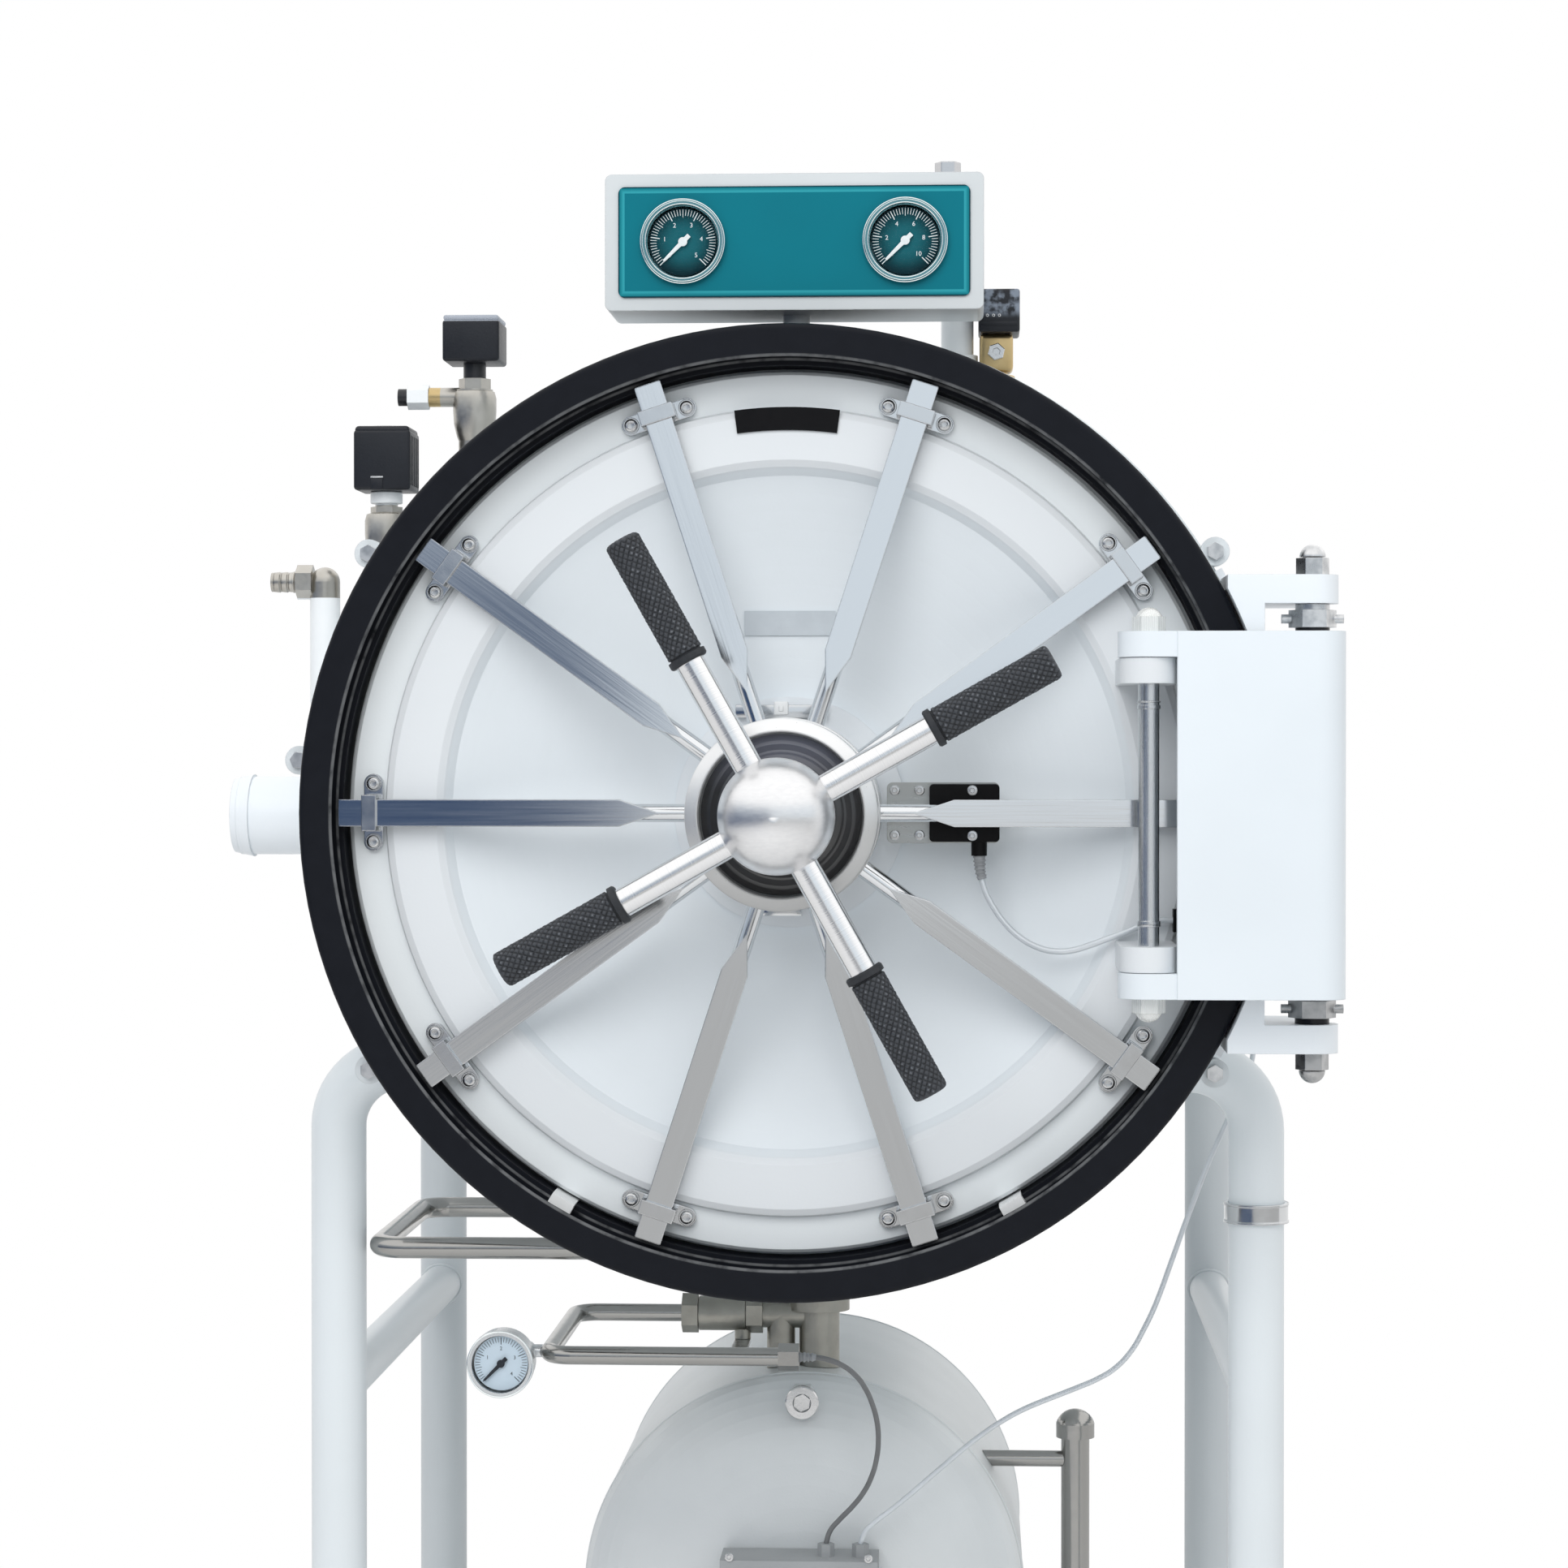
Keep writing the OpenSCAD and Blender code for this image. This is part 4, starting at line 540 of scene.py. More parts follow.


# The locking ring is rolled from plate and turned, then stoved black. Dust dulls its gloss, and a painted
# highlight runs round the lip's inner edge.
ring_black, start = new_finish("black_enamel")
dust = speckle(start, 60, 4)
skin = speckle(start, 420, 2)
spread = from_axis(place_on(start))
painted_lip_highlight = spread.step(0.4001, 0.4012) * (1 - spread.step(0.4022, 0.4036))
colors = start.mix(dust, (0.0032, 0.004, 0.0068, 1), (0.0062, 0.0075, 0.0115, 1))
# Painted highlight: a thin lighter line round the lip's inner edge.
colors = start.mix(painted_lip_highlight * dust.step(0.2, 0.6), colors, (0.14, 0.145, 0.15, 1))
values = {"Base Color": colors, "Roughness": dust * 0.16 + 0.40, "Specular IOR Level": 0.17}
close(start, values, skin, 0.00007, 0.0012)
dress(ring_black, "locking_ring")

bolt_zinc, start = new_finish("plated_bolts")
place = place_on(start)
height = place.other("Z").off(axis_z / 1000)
nut_face, hinge_x = 0.1571, 0.43
is_thread = height.step(nut_face - 0.0001, nut_face) * (1 - height.step(0.1621, 0.1624))
is_hinge = place > hinge_x
is_low = (place.other("Z") < axis_z / 1000) * is_hinge
is_low_thread = height.step(0.1775, 0.1778) * (1 - height.step(0.1830, 0.1831)) * is_low
is_thread = (is_thread + is_low_thread) * is_hinge
cloud = speckle(start, 70, 4)
colors = start.mix(cloud.step(0.35, 0.65), (0.50, 0.51, 0.52, 1), (0.76, 0.76, 0.76, 1))
colors = start.mix(is_low * 0.45, colors, (0.14, 0.14, 0.14, 1))
colors = start.mix(is_thread, colors, (0.03, 0.03, 0.032, 1))
close(start, {"Base Color": colors, "Metallic": 1.0, "Roughness": cloud * 0.2 + 0.2}, cloud, 0.00006, 0.001)
dress(bolt_zinc, "flange_bolts", "main_pivot", "drain_lever")

pad_white, start = new_finish("rest_pads")
cloud = speckle(start, 60, 3)
colors = start.mix(cloud, shade(228, 230, 230), shade(242, 243, 243))
close(start, {"Base Color": colors, "Roughness": cloud * 0.15 + 0.35}, speckle(start, 500), 0.0001, 0.001)
dress(pad_white, "door_rest_pads")

seal, start = new_finish("silicone_seal")
cloud = speckle(start, 80, 3)
colors = start.mix(cloud, shade(196, 190, 180), shade(220, 214, 205))
close(start, {"Base Color": colors, "Roughness": cloud * 0.2 + 0.45}, cloud, 0.0001)
dress(seal, "door_gasket")


# The door is a pressed and turned plate with a dished middle, white like the rest. Its rim, its raised band
# and its dish are each painted a slightly different white, which stands in for the light and shade that
# falls on each.
door_white, start = new_finish("door_enamel")
place = place_on(start)
spread = from_axis(place)
cloud = speckle(start, 5, 3)
# Painted light and shade: the rim lightest, the band darkest, the dish between.
colors = start.mix(spread.step(0.304, 0.309), shade(230, 236, 240), shade(224, 228, 231))
colors = start.mix(spread.step(0.3595, 0.3605), colors, shade(234, 239, 241))
colors = start.mix(cloud.step(0.3, 0.7) * 0.045, colors, (0.4, 0.42, 0.45, 1))
gloss = (cloud - 0.5) * 0.1 + 0.38
close(start, {"Base Color": colors, "Roughness": gloss}, speckle(start, 330), 0.00006, 0.0012)
dress(door_white, "door_plate")

blank_finish, start = new_finish("bare_plates")
place = place_on(start)
cloud = speckle(start, 90, 3)
greys = start.mix(cloud, shade(192, 199, 205), shade(204, 211, 216))
blacks = start.mix(cloud, (0.004, 0.004, 0.005, 1), (0.008, 0.008, 0.009, 1))
colors = start.mix(place.other("Z") > 1.40, greys, blacks)
plate_gloss = cloud * 0.15 + 0.35
close(start, {"Base Color": colors, "Roughness": plate_gloss, "Specular IOR Level": 0.1}, cloud, 0.00008)
dress(blank_finish, "blank_plates")


# Ten locking bars of bright plated flat steel slide in straps on the door's rim. They are drawn
# lengthwise, so each bar has its own direction of fine lines. The straps are screwed to the rim.
bar_count = 10
for i in range(bar_count):
    bar_finish = steel(f"plated_bar_{i + 1:02d}", (0.76, 0.775, 0.79, 1), 0.10, (8, 300, 380), 0.00002,
                       turn=2 * pi * i / bar_count, cloudy=0.14, edge=0.0013)
    dress(bar_finish, f"bar_{i + 1:02d}")
strap_steel = steel("plated_straps", (0.70, 0.71, 0.72, 1), 0.15, (90, 90, 90), 0.00004, edge=0.0014)
dress(strap_steel, "bar_guides")

guide_place, ear_reach, ear_front = 370, 26, 44
screw_steel = steel("screw_steel", (0.66, 0.66, 0.66, 1), 0.24, (300, 300, 300))
grown = bmesh.new()
for i in range(bar_count):
    for side in (-1, 1):
        turn = 2 * pi * i / bar_count
        x = guide_place * cos(turn) - side * ear_reach * sin(turn)
        z = guide_place * sin(turn) + side * ear_reach * cos(turn)
        middle = (x, ear_front, z)
        turned(grown, [(0, 0.1), (7.4, 0.1), (7.4, 0.9), (7.0, 1.3), (4.2, 1.3)], middle, steps=28)
        turned(grown, [(5.9, 1.2), (6.0, 2.6), (5.6, 3.9), (4.6, 4.7), (3.2, 5.0)], middle, steps=28)
        socket = [(3.2, 5.0), (2.9, 4.9), (2.8, 1.8), (0, 1.6)]
        turned(grown, socket, middle, steps=6, phase=0.5 * i + side)
        turned(grown, [(3.2, 5.0), (2.9, 4.9)], middle, steps=28)
guide_pieces = piece("guide_screw_heads", grown, screw_steel, "door")
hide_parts("guide_screws")


# The hub is a turned and silver-painted casting on the door's middle, with a white foot. Behind its
# bright bezel sits the handwheel's glossy black dish. A steel clip plate and a pad sit above it.
hub_silver, start = new_finish("silver_paint")
flake = speckle(start, 700, 3)
cloud = speckle(start, 12, 2)
place = place_on(start)
is_foot = place.other("Y") > -0.4305
colors = start.mix(cloud, (0.76, 0.77, 0.77, 1), (0.84, 0.84, 0.84, 1))
# Painted shade: the casting's lower part is painted darker.
colors = start.mix((1 - place.other("Z").step(1.07, 1.2)) * 0.55, colors, (0.2, 0.2, 0.195, 1))
colors = start.mix(is_foot, colors, shade(231, 236, 240))
values = {"Base Color": colors, "Metallic": (1 - is_foot) * 0.6, "Roughness": flake * 0.2 + 0.22}
close(start, values, flake, 0.00008, 0.001)
dress(hub_silver, "hub_housing")

dish_black, start = new_finish("dish_black")
cloud = speckle(start, 50, 3)
up = place_on(start).other("Z")
colors = start.mix(cloud, (0.0035, 0.004, 0.0055, 1), (0.007, 0.0075, 0.0095, 1))
# Painted reflection: the dish's top is painted lighter and bluish.
colors = start.mix(up.step(1.165, 1.22) * 0.8, colors, (0.10, 0.11, 0.15, 1))
gloss = cloud * 0.12 + 0.26
close(start, {"Base Color": colors, "Roughness": gloss, "Specular IOR Level": 1.0}, cloud, 0.00003)
dress(dish_black, "wheel_dish")

bezel = [(71.2, -0.6), (71.2, 4.4), (71.7, 5.4), (72.8, 5.7), (74.2, 5.0)]
bezel += [(81.8, 1.0), (83.0, -0.4), (83.2, -2.5)]
grown = bmesh.new()
turned(grown, bezel, (0, -70, 0), steps=128)
ring_bead(grown, 83.3, (0, -20, 0), 1.0, steps=128)
piece("hub_rings", grown, hub_silver, "door")

sensor_steel = steel("sensor_plate", (0.46, 0.47, 0.46, 1), 0.30, (30, 300, 300), cloudy=0.5, edge=0.0008)
grown = bmesh.new()
block(grown, (-49, 84, 84.5), (34, 92, 96.5))
block(grown, (-24.5, 84, -93.5), (11.5, 92, -85))
piece("hub_clips", grown, strap_steel, "door")
grown = bmesh.new()
block(grown, (-14, 79, 87), (-1, 91.5, 99.5), 1.6, 3)
block(grown, (-9.5, 78.2, 90.5), (-5.5, 80, 95.5), 0.6)
piece("hub_pad", grown, pad_white, "door")


# The handwheel: a spun steel ball on the spindle with four ground steel spokes screwed into it. The
# ball is brushed round its own axis, the spokes are centreless ground, and both are bright.
wheel_steel, start = new_finish("wheel_steel")
place = place_on(start)
spread = from_axis(place)
is_ball = 1 - spread.step(0.0490, 0.0500)
brushing = speckle(start, 1, 4, (160, 160, 420))
rings = start.node("TexNoise", {"noise_dimensions": "1D"}, {"W": spread * 900, "Scale": 1.0, "Detail": 4.0})
lines = brushing * is_ball + rings * (1 - is_ball)
colors = start.mix(lines, (0.70, 0.70, 0.71, 1), (0.84, 0.84, 0.84, 1))
rough = (lines * 0.12 + 0.26) * is_ball + (lines * 0.08 + 0.15) * (1 - is_ball)
close(start, {"Base Color": colors, "Metallic": 1.0, "Roughness": rough}, lines, 0.00005)
dress(wheel_steel, "wheel_spokes", "spindle")

bronze, start = new_finish("cam_bronze")
lines = speckle(start, 90, 4)
colors = start.mix(lines, (0.44, 0.28, 0.12, 1), (0.60, 0.41, 0.20, 1))
close(start, {"Base Color": colors, "Metallic": 1.0, "Roughness": lines * 0.2 + 0.3}, lines, 0.0001)
dress(bronze, "cam_disc")


# Four moulded rubber grips with a diamond grain and a plain collar, pushed over the spokes. The tops of
# some diamonds carry a painted highlight, and the grooves between them painted shade.
grip_rubber, start = new_finish("grip_rubber")
dust = speckle(start, 260, 4)
relief = start.node("Attribute", {"attribute_name": "relief"}, out="Fac")
# Painted shade in the grooves, and painted highlights on the diamonds' tops, their specks and the rounded
# ends.
colors = start.mix(relief.step(0.05, 0.6), shade(20, 22, 25), shade(58, 61, 66))
colors = start.mix(dust * 0.25, colors, shade(78, 81, 86))
colors = start.mix(relief.step(0.8, 1.2), colors, shade(128, 132, 138))
gloss = 0.55 - relief * 0.18
close(start, {"Base Color": colors, "Roughness": gloss, "Specular IOR Level": 0.35}, dust, 0.0002)
grip_start, grip_length, grip_radius = 148, 118, 15.5
spoke_angle, wheel_y = 29.3, -145
stud_turns, stud_pitch = 8, 6.4
collar_end, groove_end, end_round = 6.5, 8.5, 4
grown = bmesh.new()
heights = grown.verts.layers.float.new("relief")
rows, columns = 150, 108
for arm in range(4):
    turn = radians(spoke_angle + 90 * arm)
    out = Vector((cos(turn), 0, sin(turn)))
    side = Vector((-sin(turn), 0, cos(turn)))
    face = Vector((0, -1, 0))
    rings = []
    for row in range(rows + 1):
        h = grip_length * row / rows
        end = max(0.0, (h - (grip_length - end_round)) / end_round)
        ring = []
        for column in range(columns):
            a = 2 * pi * column / columns
            u = a * stud_turns / pi + h / stud_pitch
            v = a * stud_turns / pi - h / stud_pitch
            stud = min(u % 1, 1 - u % 1, v % 1, 1 - v % 1)
            fine = grain.noise(Vector((cos(a) * 4, sin(a) * 4, h * 0.8 + 50 * arm)))
            chance = grain.noise(Vector((floor(u) * 7.31, floor(v) * 3.17, 9.1 * arm + 0.5)))
            bump = min(stud / 0.26, 1.0)
            # The speck on a diamond's top is a painted highlight.
            top = max(0.0, 1 - 2.6 * sqrt((u % 1 - 0.5) ** 2 + (v % 1 - 0.5) ** 2)) if chance > 0.2 else 0.0
            height = max(0.0, min(1.0, 0.62 * bump + 0.2 * fine + 0.7 * top))
            r = grip_radius - 1.2 + 1.15 * bump + 0.45 * fine + 0.2 * top
            if h < collar_end:
                r, height = grip_radius + 1.4 - 0.9 * max(0.0, 1.5 - h), 0.2
            elif h < groove_end:
                r, height = grip_radius - 1.4, 0.0
            if end > 0:
                height = max(height, 0.9 * end)
            r -= 3.5 * (1 - sqrt(max(0.0, 1 - end * end)))
            spot = out * (grip_start + h) + side * (r * cos(a)) + face * (r * sin(a))
            vert = grown.verts.new(at(spot.x, wheel_y + spot.y, spot.z))
            vert[heights] = height
            ring.append(vert)
        rings.append(ring)
    for low, high in zip(rings, rings[1:]):
        for k in range(columns):
            grown.faces.new((low[k], low[(k + 1) % columns], high[(k + 1) % columns], high[k]))
    grown.faces.new(rings[-1])
    grown.faces.new(rings[0])
grips = piece("grip_sleeves", grown, grip_rubber, "wheel")
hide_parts("wheel_grips")


# The door sensor: a dull steel plate on the dish, a matt black housing on it, and cheese-head screws.
dress(sensor_steel, "sensor_bracket")
housing_black, start = new_finish("housing_black")
cloud = speckle(start, 160, 3)
colors = start.mix(cloud, (0.003, 0.003, 0.0035, 1), (0.007, 0.007, 0.0075, 1))
values = {"Base Color": colors, "Roughness": cloud * 0.2 + 0.3, "Specular IOR Level": 0.1}
close(start, values, cloud, 0.0001, 0.002)
dress(housing_black, "sensor_block")
grown = bmesh.new()
for x, y, z in ((95, 58, 20), (117, 58, 20), (95, 58, -20), (117, 58, -20), (164, 42, 20), (164, 42, -20)):
    hex_screw(grown, (x, y, z), 4.6, phase=x)
piece("sensor_screws", grown, screw_steel, "door")


# The hinge: a bolted bracket, a boxed swing plate and a polished shaft that the door's knuckles turn on.
# A worm-drive band clamps the cable guard's tube to the leg below it.
swing_white = enamel("swing_enamel", shade(229, 236, 241), 0.34)
dress(swing_white, "swing_arm")
shaft_steel, start = new_finish("polished_shaft")
place = place_on(start)
height = place.other("Z").off(axis_z / 1000)
is_nut = height > nut_face
lines = speckle(start, 1, 3, (700, 700, 25))
colors = start.mix(lines, (0.60, 0.61, 0.62, 1), (0.70, 0.71, 0.72, 1))
colors = start.mix(is_nut, colors, shade(226, 228, 226))
values = {"Base Color": colors, "Metallic": 1 - is_nut * 0.8, "Roughness": lines * 0.1 + 0.22}
close(start, values, lines, 0.00001, 0.001)
dress(shaft_steel, "door_shaft")
grown = bmesh.new()
for z in (-95, 97):
    ring_bead(grown, 9.4, (315, -50, z), 0.9, (0, 0, 1), 48)
piece("shaft_rings", grown, shaft_steel, "swing_arm")
grown = bmesh.new()
half_band = [(28.7, -9.3), (30.0, -9.0), (30.0, -7.2), (29.3, -6.8)]
band = half_band + [(radius, -height) for radius, height in reversed(half_band)] + half_band[:1]
clamp_z = -369
turned(grown, band, (leg_place, leg_ends[0], clamp_z), (0, 0, 1), 72)
block(grown, (412, 207, clamp_z - 8), (440, 216, clamp_z + 8), 1.5)
hex_screw(grown, (440, 212, clamp_z), 5.5, (1, 0, 0))
piece("leg_clamp", grown, strap_steel, "root")


# Pipework below the door: two bright bent stainless loops, a cast drain valve and the tank's column.
pipe_steel = steel("drawn_pipe", (0.40, 0.395, 0.38, 1), 0.20, (90, 90, 90), 0.00004)
dress(pipe_steel, "steam_pipes", "level_column", "generator_shell")
element = steel("heater_sheath", (0.30, 0.29, 0.30, 1), 0.34, (120, 120, 120))
dress(element, "heater_tubes")
cast_steel, start = new_finish("cast_stainless")
pits = speckle(start, 300, 5)
cloud = speckle(start, 30, 2)
colors = start.mix(cloud, (0.22, 0.215, 0.19, 1), (0.42, 0.41, 0.37, 1))
gloss = pits * 0.25 + 0.26
close(start, {"Base Color": colors, "Metallic": 1.0, "Roughness": gloss}, pits, 0.00025, 0.0008)
dress(cast_steel, "drain_body")


# The steam generator is a welded tank under a satin metal cover, with a seam where its dished ends
# meet the barrel and a plug with a hexagon socket. Its terminal box is grey plastic.
cover, start = new_finish("satin_cover")
cloud = speckle(start, 14, 3)
fine = speckle(start, 500, 3)
colors = start.mix(cloud, shade(208, 212, 213), shade(222, 225, 226))
close(start, {"Base Color": colors, "Metallic": 0.3, "Roughness": fine * 0.2 + 0.34}, fine, 0.00008)
dress(cover, "generator_cover")
grown = bmesh.new()
for seam_y in (374, 754):
    ring_bead(grown, 214.4, (0, seam_y, -768), 1.5, steps=128)
piece("tank_seams", grown, cover, "root")
plug_at = (0, 327.5, -575)
grown = bmesh.new()
turned(grown, [(16.4, -4), (16.4, 1.0), (15.2, 2.4), (9.0, 2.6)], plug_at)
turned(grown, [(9.0, 2.6), (8.4, 0.5), (0, 0.4)], plug_at, steps=6, phase=0.4)
for x in (-66, 66):
    for z in (-814, -710):
        hex_screw(grown, (x, 258, z), 4.2)
piece("tank_plug", grown, screw_steel, "root")
box_grey, start = new_finish("terminal_box")
pores = speckle(start, 400, 3)
colors = start.mix(speckle(start, 20), shade(150, 153, 155), shade(166, 169, 171))
close(start, {"Base Color": colors, "Roughness": pores * 0.2 + 0.5}, pores, 0.0002, 0.001)
dress(box_grey, "terminal_box")


# Solenoid valves and fittings: nickel-plated castings with white nuts, brass on the right, a riser that
# is painted white, and black moulded coils on top, each with its own seams, disc, slot or screws.
fitting, start = new_finish("nickel_brass")
place = place_on(start)
up = place.other("Z")
pits = speckle(start, 240, 5)
cloud = speckle(start, 60, 3)
nickel = start.mix(cloud, (0.40, 0.38, 0.34, 1), (0.60, 0.58, 0.54, 1))
brass = start.mix(cloud, (0.50, 0.36, 0.17, 1), (0.66, 0.52, 0.28, 1))
white = start.mix(cloud, shade(238, 242, 244), shade(246, 249, 250))
arm_x, arm_ring_x, arm_end_x, arm_z = -0.3315, -0.3425, -0.3626, 1.51
upper_valve_x, neck_z = -0.25, 1.5524
vent_x, brass_x, brass_z = 0.10, 0.170, 1.50
riser_x, riser_top = -0.40, 1.348
lower_valve_x, collar_low, collar_high = -0.36, 1.4345, 1.50
is_arm = (place < arm_x) * (up > arm_z)
is_ring = is_arm * (place > arm_ring_x)
is_end = is_arm * (place < arm_end_x)
is_neck = (place < upper_valve_x) * (up > neck_z) * (1 - is_arm)
is_brass = (place > brass_x) * (up > brass_z)
is_painted = (place > vent_x) * (place < brass_x) + (place < riser_x) * (up < riser_top)
is_collar = (place < lower_valve_x) * (place > riser_x) * (up > collar_low) * (up < collar_high)
is_painted = is_painted + is_collar
is_nut = is_arm * (1 - is_ring) * (1 - is_end)
colors = start.mix(is_brass + is_ring, nickel, brass)
colors = start.mix(is_painted + is_nut, colors, white)
colors = start.mix(is_neck + is_end, colors, (0.012, 0.013, 0.016, 1))
metal = 1 - (is_painted + is_nut + is_neck + is_end)
gloss = pits * 0.25 + 0.22
close(start, {"Base Color": colors, "Metallic": metal, "Roughness": gloss}, pits, 0.00012, 0.0008)
dress(fitting, "valve_bodies")

fit_y, upper_x, lower_x, nozzle_z = 200, -300, -383, 213
cast = [(14.6, -27), (16.6, -22), (19.4, -10), (20.2, 2), (20.2, 14)]
cast += [(18.6, 20), (13.4, 21.8), (12.0, 21.8), (14.6, -27)]
collar = [(10.6, 0), (14.2, 0), (15, 0.8), (15, 10), (14.2, 10.9), (10.6, 10.9)]
grown = bmesh.new()
for x, z in ((upper_x, 370), (lower_x, 256)):
    turned(grown, cast, (x, fit_y, z), (0, 0, 1))
for h in (0, 7, 14):
    barb = [(8.8, h), (9.7, h + 1.2), (9.1, h + 6.6), (8.8, h)]
    turned(grown, barb, (-468, fit_y, nozzle_z), (-1, 0, 0), 32)
ring_bead(grown, 8.9, (-470, fit_y, nozzle_z), 1.2, (1, 0, 0), 36)
turned(grown, collar, (lower_x, fit_y, 286), (0, 0, 1))
piece("cast_fittings", grown, fitting, "root")
elbow_x, elbow_front = 186, 183
grown = bmesh.new()
block(grown, (170.5, elbow_front, 405), (201.5, 217, 440), 5, 4)
ring_bead(grown, 15.8, (elbow_x, fit_y, 401), 1.6, (0, 0, 1), 40)
piece("brass_elbow", grown, fitting, "root")
grown = bmesh.new()
plug = [(8.2, -2), (8.2, 3), (7.4, 3.8), (4, 3.8), (3.4, 1), (0, 1)]
turned(grown, plug, (elbow_x, elbow_front, 423), steps=6, phase=0.3)
for x in (177.7, 183.4, 188.7):
    hex_screw(grown, (x, 171.4, 455.4), 1.5)
piece("elbow_plug", grown, screw_steel, "root")

coil_black, start = new_finish("coil_plastic")
pores = speckle(start, 350, 4)
cloud = speckle(start, 40, 2)
place = place_on(start)
up = place.other("Z")
is_strip = up.step(1.6030, 1.6036) * (place < 0)
colors = start.mix(cloud, shade(16, 19, 26), shade(26, 29, 36))
colors = start.mix(is_strip, colors, shade(166, 172, 182))
# Painted reflection: a bluish-grey speckled sheen on the top of the right coil.
painted_sheen = speckle(start, 120, 4).step(0.4, 0.62)
colors = start.mix(painted_sheen * up.step(1.602, 1.612) * (place > 0), colors, shade(134, 144, 158))
gloss = pores * 0.2 + 0.3
close(start, {"Base Color": colors, "Roughness": gloss, "Specular IOR Level": 0.4}, pores, 0.00012)
coil_near, coil_far = 171, 229
grown = bmesh.new()
block(grown, (-326.5, coil_near, 416.2), (-273.5, coil_far, 454.6), 3.0, 4)
block(grown, (-325.6, coil_near + 0.8, 454.0), (-274.4, coil_far - 0.8, 459), 2.0, 3)
block(grown, (-409.5, coil_near, 297.2), (-356.5, coil_far, 353), 3.2, 4)
block(grown, (-408.5, coil_near + 1, 349), (-357.5, coil_far - 1, 356.8), 3.6, 4)
for y in range(178, 222, 8):
    block(grown, (-357.2, y, 302), (-355.8, y + 4, 348), 0.5)
block(grown, (-393, coil_near - 0.8, 297.6), (-382, coil_near + 1, 308), 0.4)
block(grown, (169.5, coil_near, 440.2), (207.5, coil_far, 480), 2.6, 4)
block(grown, (172, coil_near - 0.6, 446), (205, coil_near + 1, 450), 0.4)
coils = piece("coil_blocks", grown, coil_black, "root")
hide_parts("valve_coils")
grown = bmesh.new()
turned(grown, [(15.5, -1), (15.5, 0.4), (13.5, 1.8), (0, 1.9)], (lower_x, fit_y, 356.4), (0, 0, 1))
block(grown, (-393.4, coil_near - 1.1, 308.2), (-381.6, coil_near + 1, 309.9), 0.3)
piece("coil_trims", grown, strap_steel, "root")


# The control box is folded white sheet with a teal front panel, whose margin is printed lighter and
# ends in a dark edge. A plated cap sits on the box's top.
box_white, start = new_finish("panel_box_enamel")
up = place_on(start).other("Z")
is_cap = up.step(1.7166, 1.7168)
cloud = speckle(start, 5, 3)
colors = start.mix(cloud.step(0.3, 0.7), shade(202, 207, 209), shade(208, 213, 215))
colors = start.mix(is_cap, colors, (0.6, 0.6, 0.61, 1))
# Painted light: the box's underside is painted near white to lift its shade.
colors = start.mix(up.step(1.5864, 1.5858), colors, shade(252, 253, 253))
values = {"Base Color": colors, "Roughness": 0.34 - is_cap * 0.12, "Metallic": is_cap}
close(start, values, cloud, 0.0002, 0.0016)
dress(box_white, "panel_box")
panel_low, panel_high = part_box("panel_face")
teal, start = new_finish("teal_panel")
place = place_on(start)
middle_x = (panel_low[0] + panel_high[0]) / 2
middle_z = (panel_low[2] + panel_high[2]) / 2
across = place.off(middle_x) - (panel_high[0] - panel_low[0]) / 2
upward = place.other("Z").off(middle_z) - (panel_high[2] - panel_low[2]) / 2
inset = across.larger(upward) * -1000
cloud = speckle(start, 16, 3)
colors = start.mix(cloud, shade(2, 108, 123), shade(4, 115, 130))
margin = start.mix(inset.step(1.5, 5.0), shade(12, 118, 130), shade(46, 152, 164))
colors = start.mix(1 - inset.step(5.4, 5.9), colors, margin)
colors = start.mix(1 - inset.step(0.9, 1.5), colors, shade(6, 58, 70))
values = {"Base Color": colors, "Roughness": cloud * 0.1 + 0.36, "Specular IOR Level": 0.15}
close(start, values, cloud, 0.00003)
dress(teal, "panel_face")


# Three dial gauges: polished double bezels, printed dials under glass, enamelled pointers. The two on
# the panel are teal, the low one on the pipe is pale. Their scales run from lower left to lower right.
bezel_steel, start = new_finish("polished_bezel")
up = place_on(start).other("Z")
cloud = speckle(start, 120, 3)
# Painted reflection: the bezels on the panel are painted teal, as they mirror the teal panel round them.
colors = start.mix(up > 1.2, (0.72, 0.73, 0.74, 1), (0.10, 0.26, 0.29, 1))
colors = start.mix(cloud * 0.2, colors, (0.4, 0.5, 0.52, 1))
close(start, {"Base Color": colors, "Metallic": 0.85, "Roughness": cloud * 0.1 + 0.2}, cloud, 0.00002)
dress(bezel_steel, "gauge_cases")

gauge_x, gauge_z = (-92.5, 104.5), 506
dial, start = new_finish("printed_dial")
place = place_on(start)
offset = place.off(sum(gauge_x) / 2000) - (gauge_x[1] - gauge_x[0]) / 2000
spread = ((offset * offset) + (place.other("Z") - (axis_z + gauge_z) / 1000) ** 2.0).root()
cloud = speckle(start, 60, 2)
teal_dial = start.mix(spread.step(0.008, 0.031), shade(26, 96, 106), shade(4, 36, 44))
pale_dial = start.mix(cloud, shade(206, 221, 234), shade(216, 229, 240))
colors = start.mix(place.other("Z") > 1.2, pale_dial, teal_dial)
values = {"Base Color": colors, "Roughness": cloud * 0.1 + 0.4, "Specular IOR Level": 0.1}
close(start, values, cloud, 0.00002)
dress(dial, "gauge_dials")

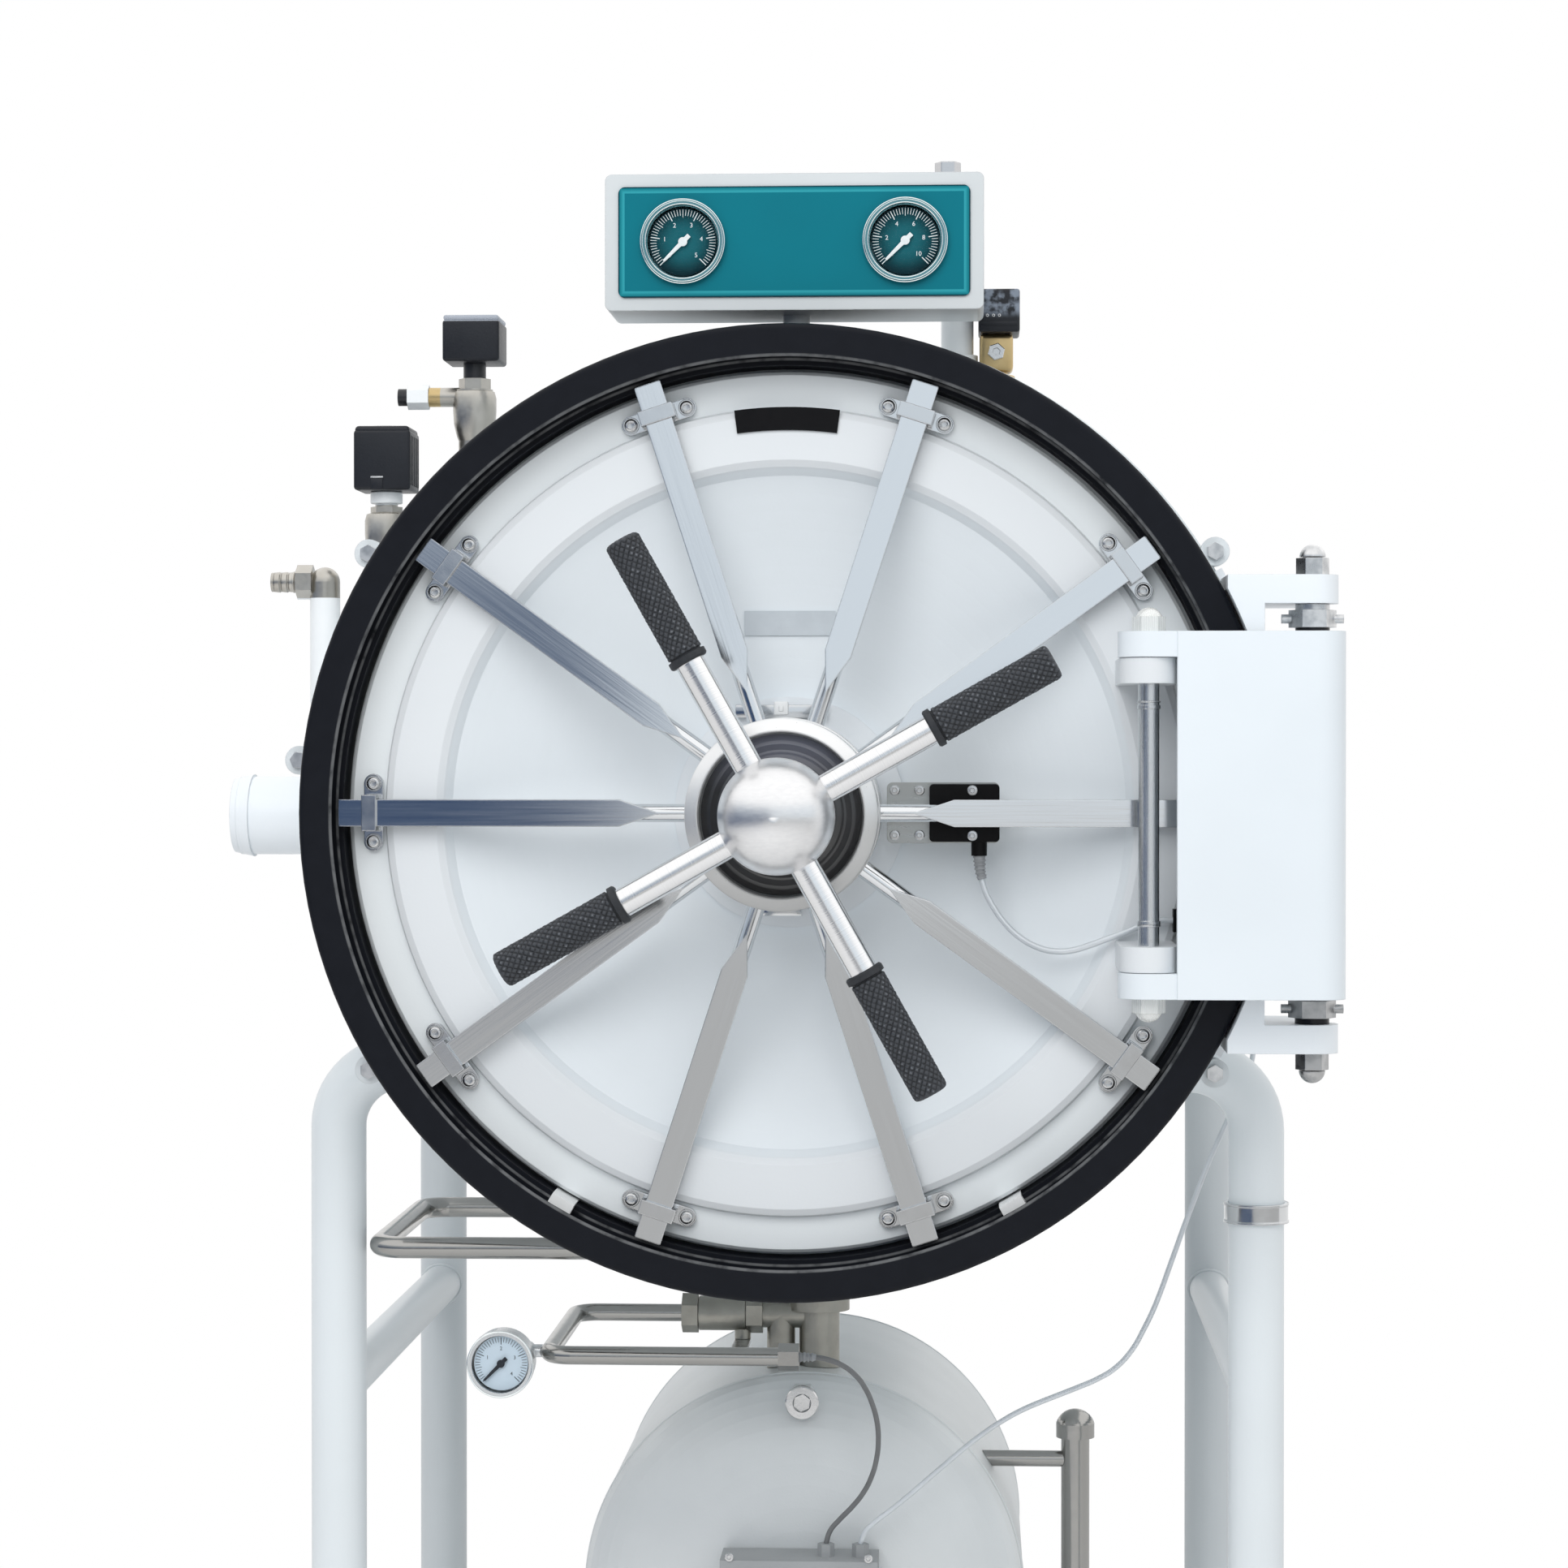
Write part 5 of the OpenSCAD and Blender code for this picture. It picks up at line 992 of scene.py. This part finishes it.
glass, start = new_finish("gauge_glass")
smear = speckle(start, 40, 3)
clear = start.node("BsdfTransparent", {}, {"Color": (0.985, 0.99, 0.99, 1)})
shine = {"Base Color": (0.9, 0.95, 0.95, 1), "Roughness": smear * 0.06 + 0.03, "Metallic": 1.0}
gloss = start.node("BsdfPrincipled", {}, shine)
edge = start.node("Fresnel", {}, {"IOR": 1.15})
blend = start.node("MixShader", {}, {0: edge * 0.3, 1: clear, 2: gloss})
start.node("OutputMaterial", {}, {"Surface": blend}, out=None)
dress(glass, "gauge_glasses")


def ink(name, color):
    """A flat printing ink."""
    material, start = new_finish(name)
    cloud = speckle(start, 300, 2)
    low = tuple(0.85 * c for c in color[:3]) + (1,)
    colors = start.mix(cloud, low, color)
    close(start, {"Base Color": colors, "Roughness": cloud * 0.2 + 0.4}, cloud, 0.00003)
    return material


white_ink = ink("white_ink", shade(238, 243, 244))
black_ink = ink("black_ink", shade(26, 30, 40))
dress(white_ink, "left_pointer", "right_pointer")
dress(black_ink, "drain_pointer")


def numeral(grown, text, place, height):
    """Adds a raised number to a bmesh, standing upright and facing the front."""
    curve = bpy.data.curves.new("numeral", "FONT")
    curve.body = text
    curve.size = height / 1000
    curve.align_x = "CENTER"
    curve.align_y = "CENTER"
    curve.extrude = 0.00008
    curve.resolution_u = 3
    holder = bpy.data.objects.new("numeral", curve)
    bpy.context.collection.objects.link(holder)
    bpy.context.view_layer.update()
    mesh = bpy.data.meshes.new_from_object(holder)
    mesh.transform(Matrix.Translation(at(*place)) @ Matrix.Rotation(pi / 2, 4, "X"))
    grown.from_mesh(mesh)
    bpy.data.objects.remove(holder)
    bpy.data.meshes.remove(mesh)


def scale_marks_of(name, centre, reach, numbers, material, divisions=10):
    """The scale of one dial: long and short ticks over three quarters of a turn, and its numbers."""
    x0, y0, z0 = centre
    first, sweep = 225, 270
    number_place, number_height = 0.57 * reach, 0.2 * reach
    grown = bmesh.new()
    count = (len(numbers) - 1) * divisions
    for k in range(count + 1):
        a = radians(first - sweep * k / count)
        long_mark = k % divisions == 0
        half_mark = k % (divisions // 2) == 0
        inner = reach * (0.72 if long_mark else 0.76 if half_mark else 0.81)
        width = 0.014 * reach if long_mark else 0.009 * reach
        out = Vector((cos(a), 0, sin(a)))
        side = Vector((-sin(a), 0, cos(a)))
        corners = [out * inner - side * width, out * reach - side * width, out * reach + side * width,
                   out * inner + side * width]
        front = [grown.verts.new(at(x0 + c.x, y0 - 0.15, z0 + c.z)) for c in corners]
        back = [grown.verts.new(at(x0 + c.x, y0 + 0.05, z0 + c.z)) for c in corners]
        grown.faces.new(front)
        grown.faces.new(back)
        for i in range(4):
            grown.faces.new((front[i], front[(i + 1) % 4], back[(i + 1) % 4], back[i]))
    for k, number in enumerate(numbers):
        a = radians(first - sweep * k / (len(numbers) - 1))
        place = (x0 + number_place * cos(a), y0 - 0.08, z0 + number_place * sin(a))
        numeral(grown, number, place, number_height)
    return piece(name, grown, material, "root")


dial_y, dial_reach, low_x, low_z = 39, 29, -270, -510
scale_marks_of("left_scale", (gauge_x[0], dial_y, gauge_z), dial_reach, "012345", white_ink)
even_numbers = [str(number) for number in range(0, 12, 2)]
scale_marks_of("right_scale", (gauge_x[1], dial_y, gauge_z), dial_reach, even_numbers, white_ink)
scale_marks_of("low_scale", (low_x, 154, low_z), 24, "01234", black_ink)
rim_steel = steel("bright_rims", (0.86, 0.90, 0.90, 1), 0.24, (200, 200, 200))
grown = bmesh.new()
for x in gauge_x:
    ring_bead(grown, 37.1, (x, 32.0, gauge_z), 0.7)
    ring_bead(grown, 35.6, (x, 31.0, gauge_z), 0.4)
    ring_bead(grown, 33.0, (x, 31.3, gauge_z), 0.5)
ring_bead(grown, 30.0, (low_x, 146.2, low_z), 0.9)
piece("gauge_bezels", grown, rim_steel, "root")


# The rear cover is held in the casing's end by round-headed screws, just inside its rim.
cover_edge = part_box("rear_cover")[1][1] * 1000 + front_y
screw_count, screw_place = 16, 420
grown = bmesh.new()
for k in range(screw_count):
    a = 2 * pi * (k + 0.5) / screw_count
    x, z = screw_place * cos(a), screw_place * sin(a)
    hex_screw(grown, (x, cover_edge - 3, z), 5.5, (0, 1, 0))
piece("cover_screws", grown, screw_steel, "root")
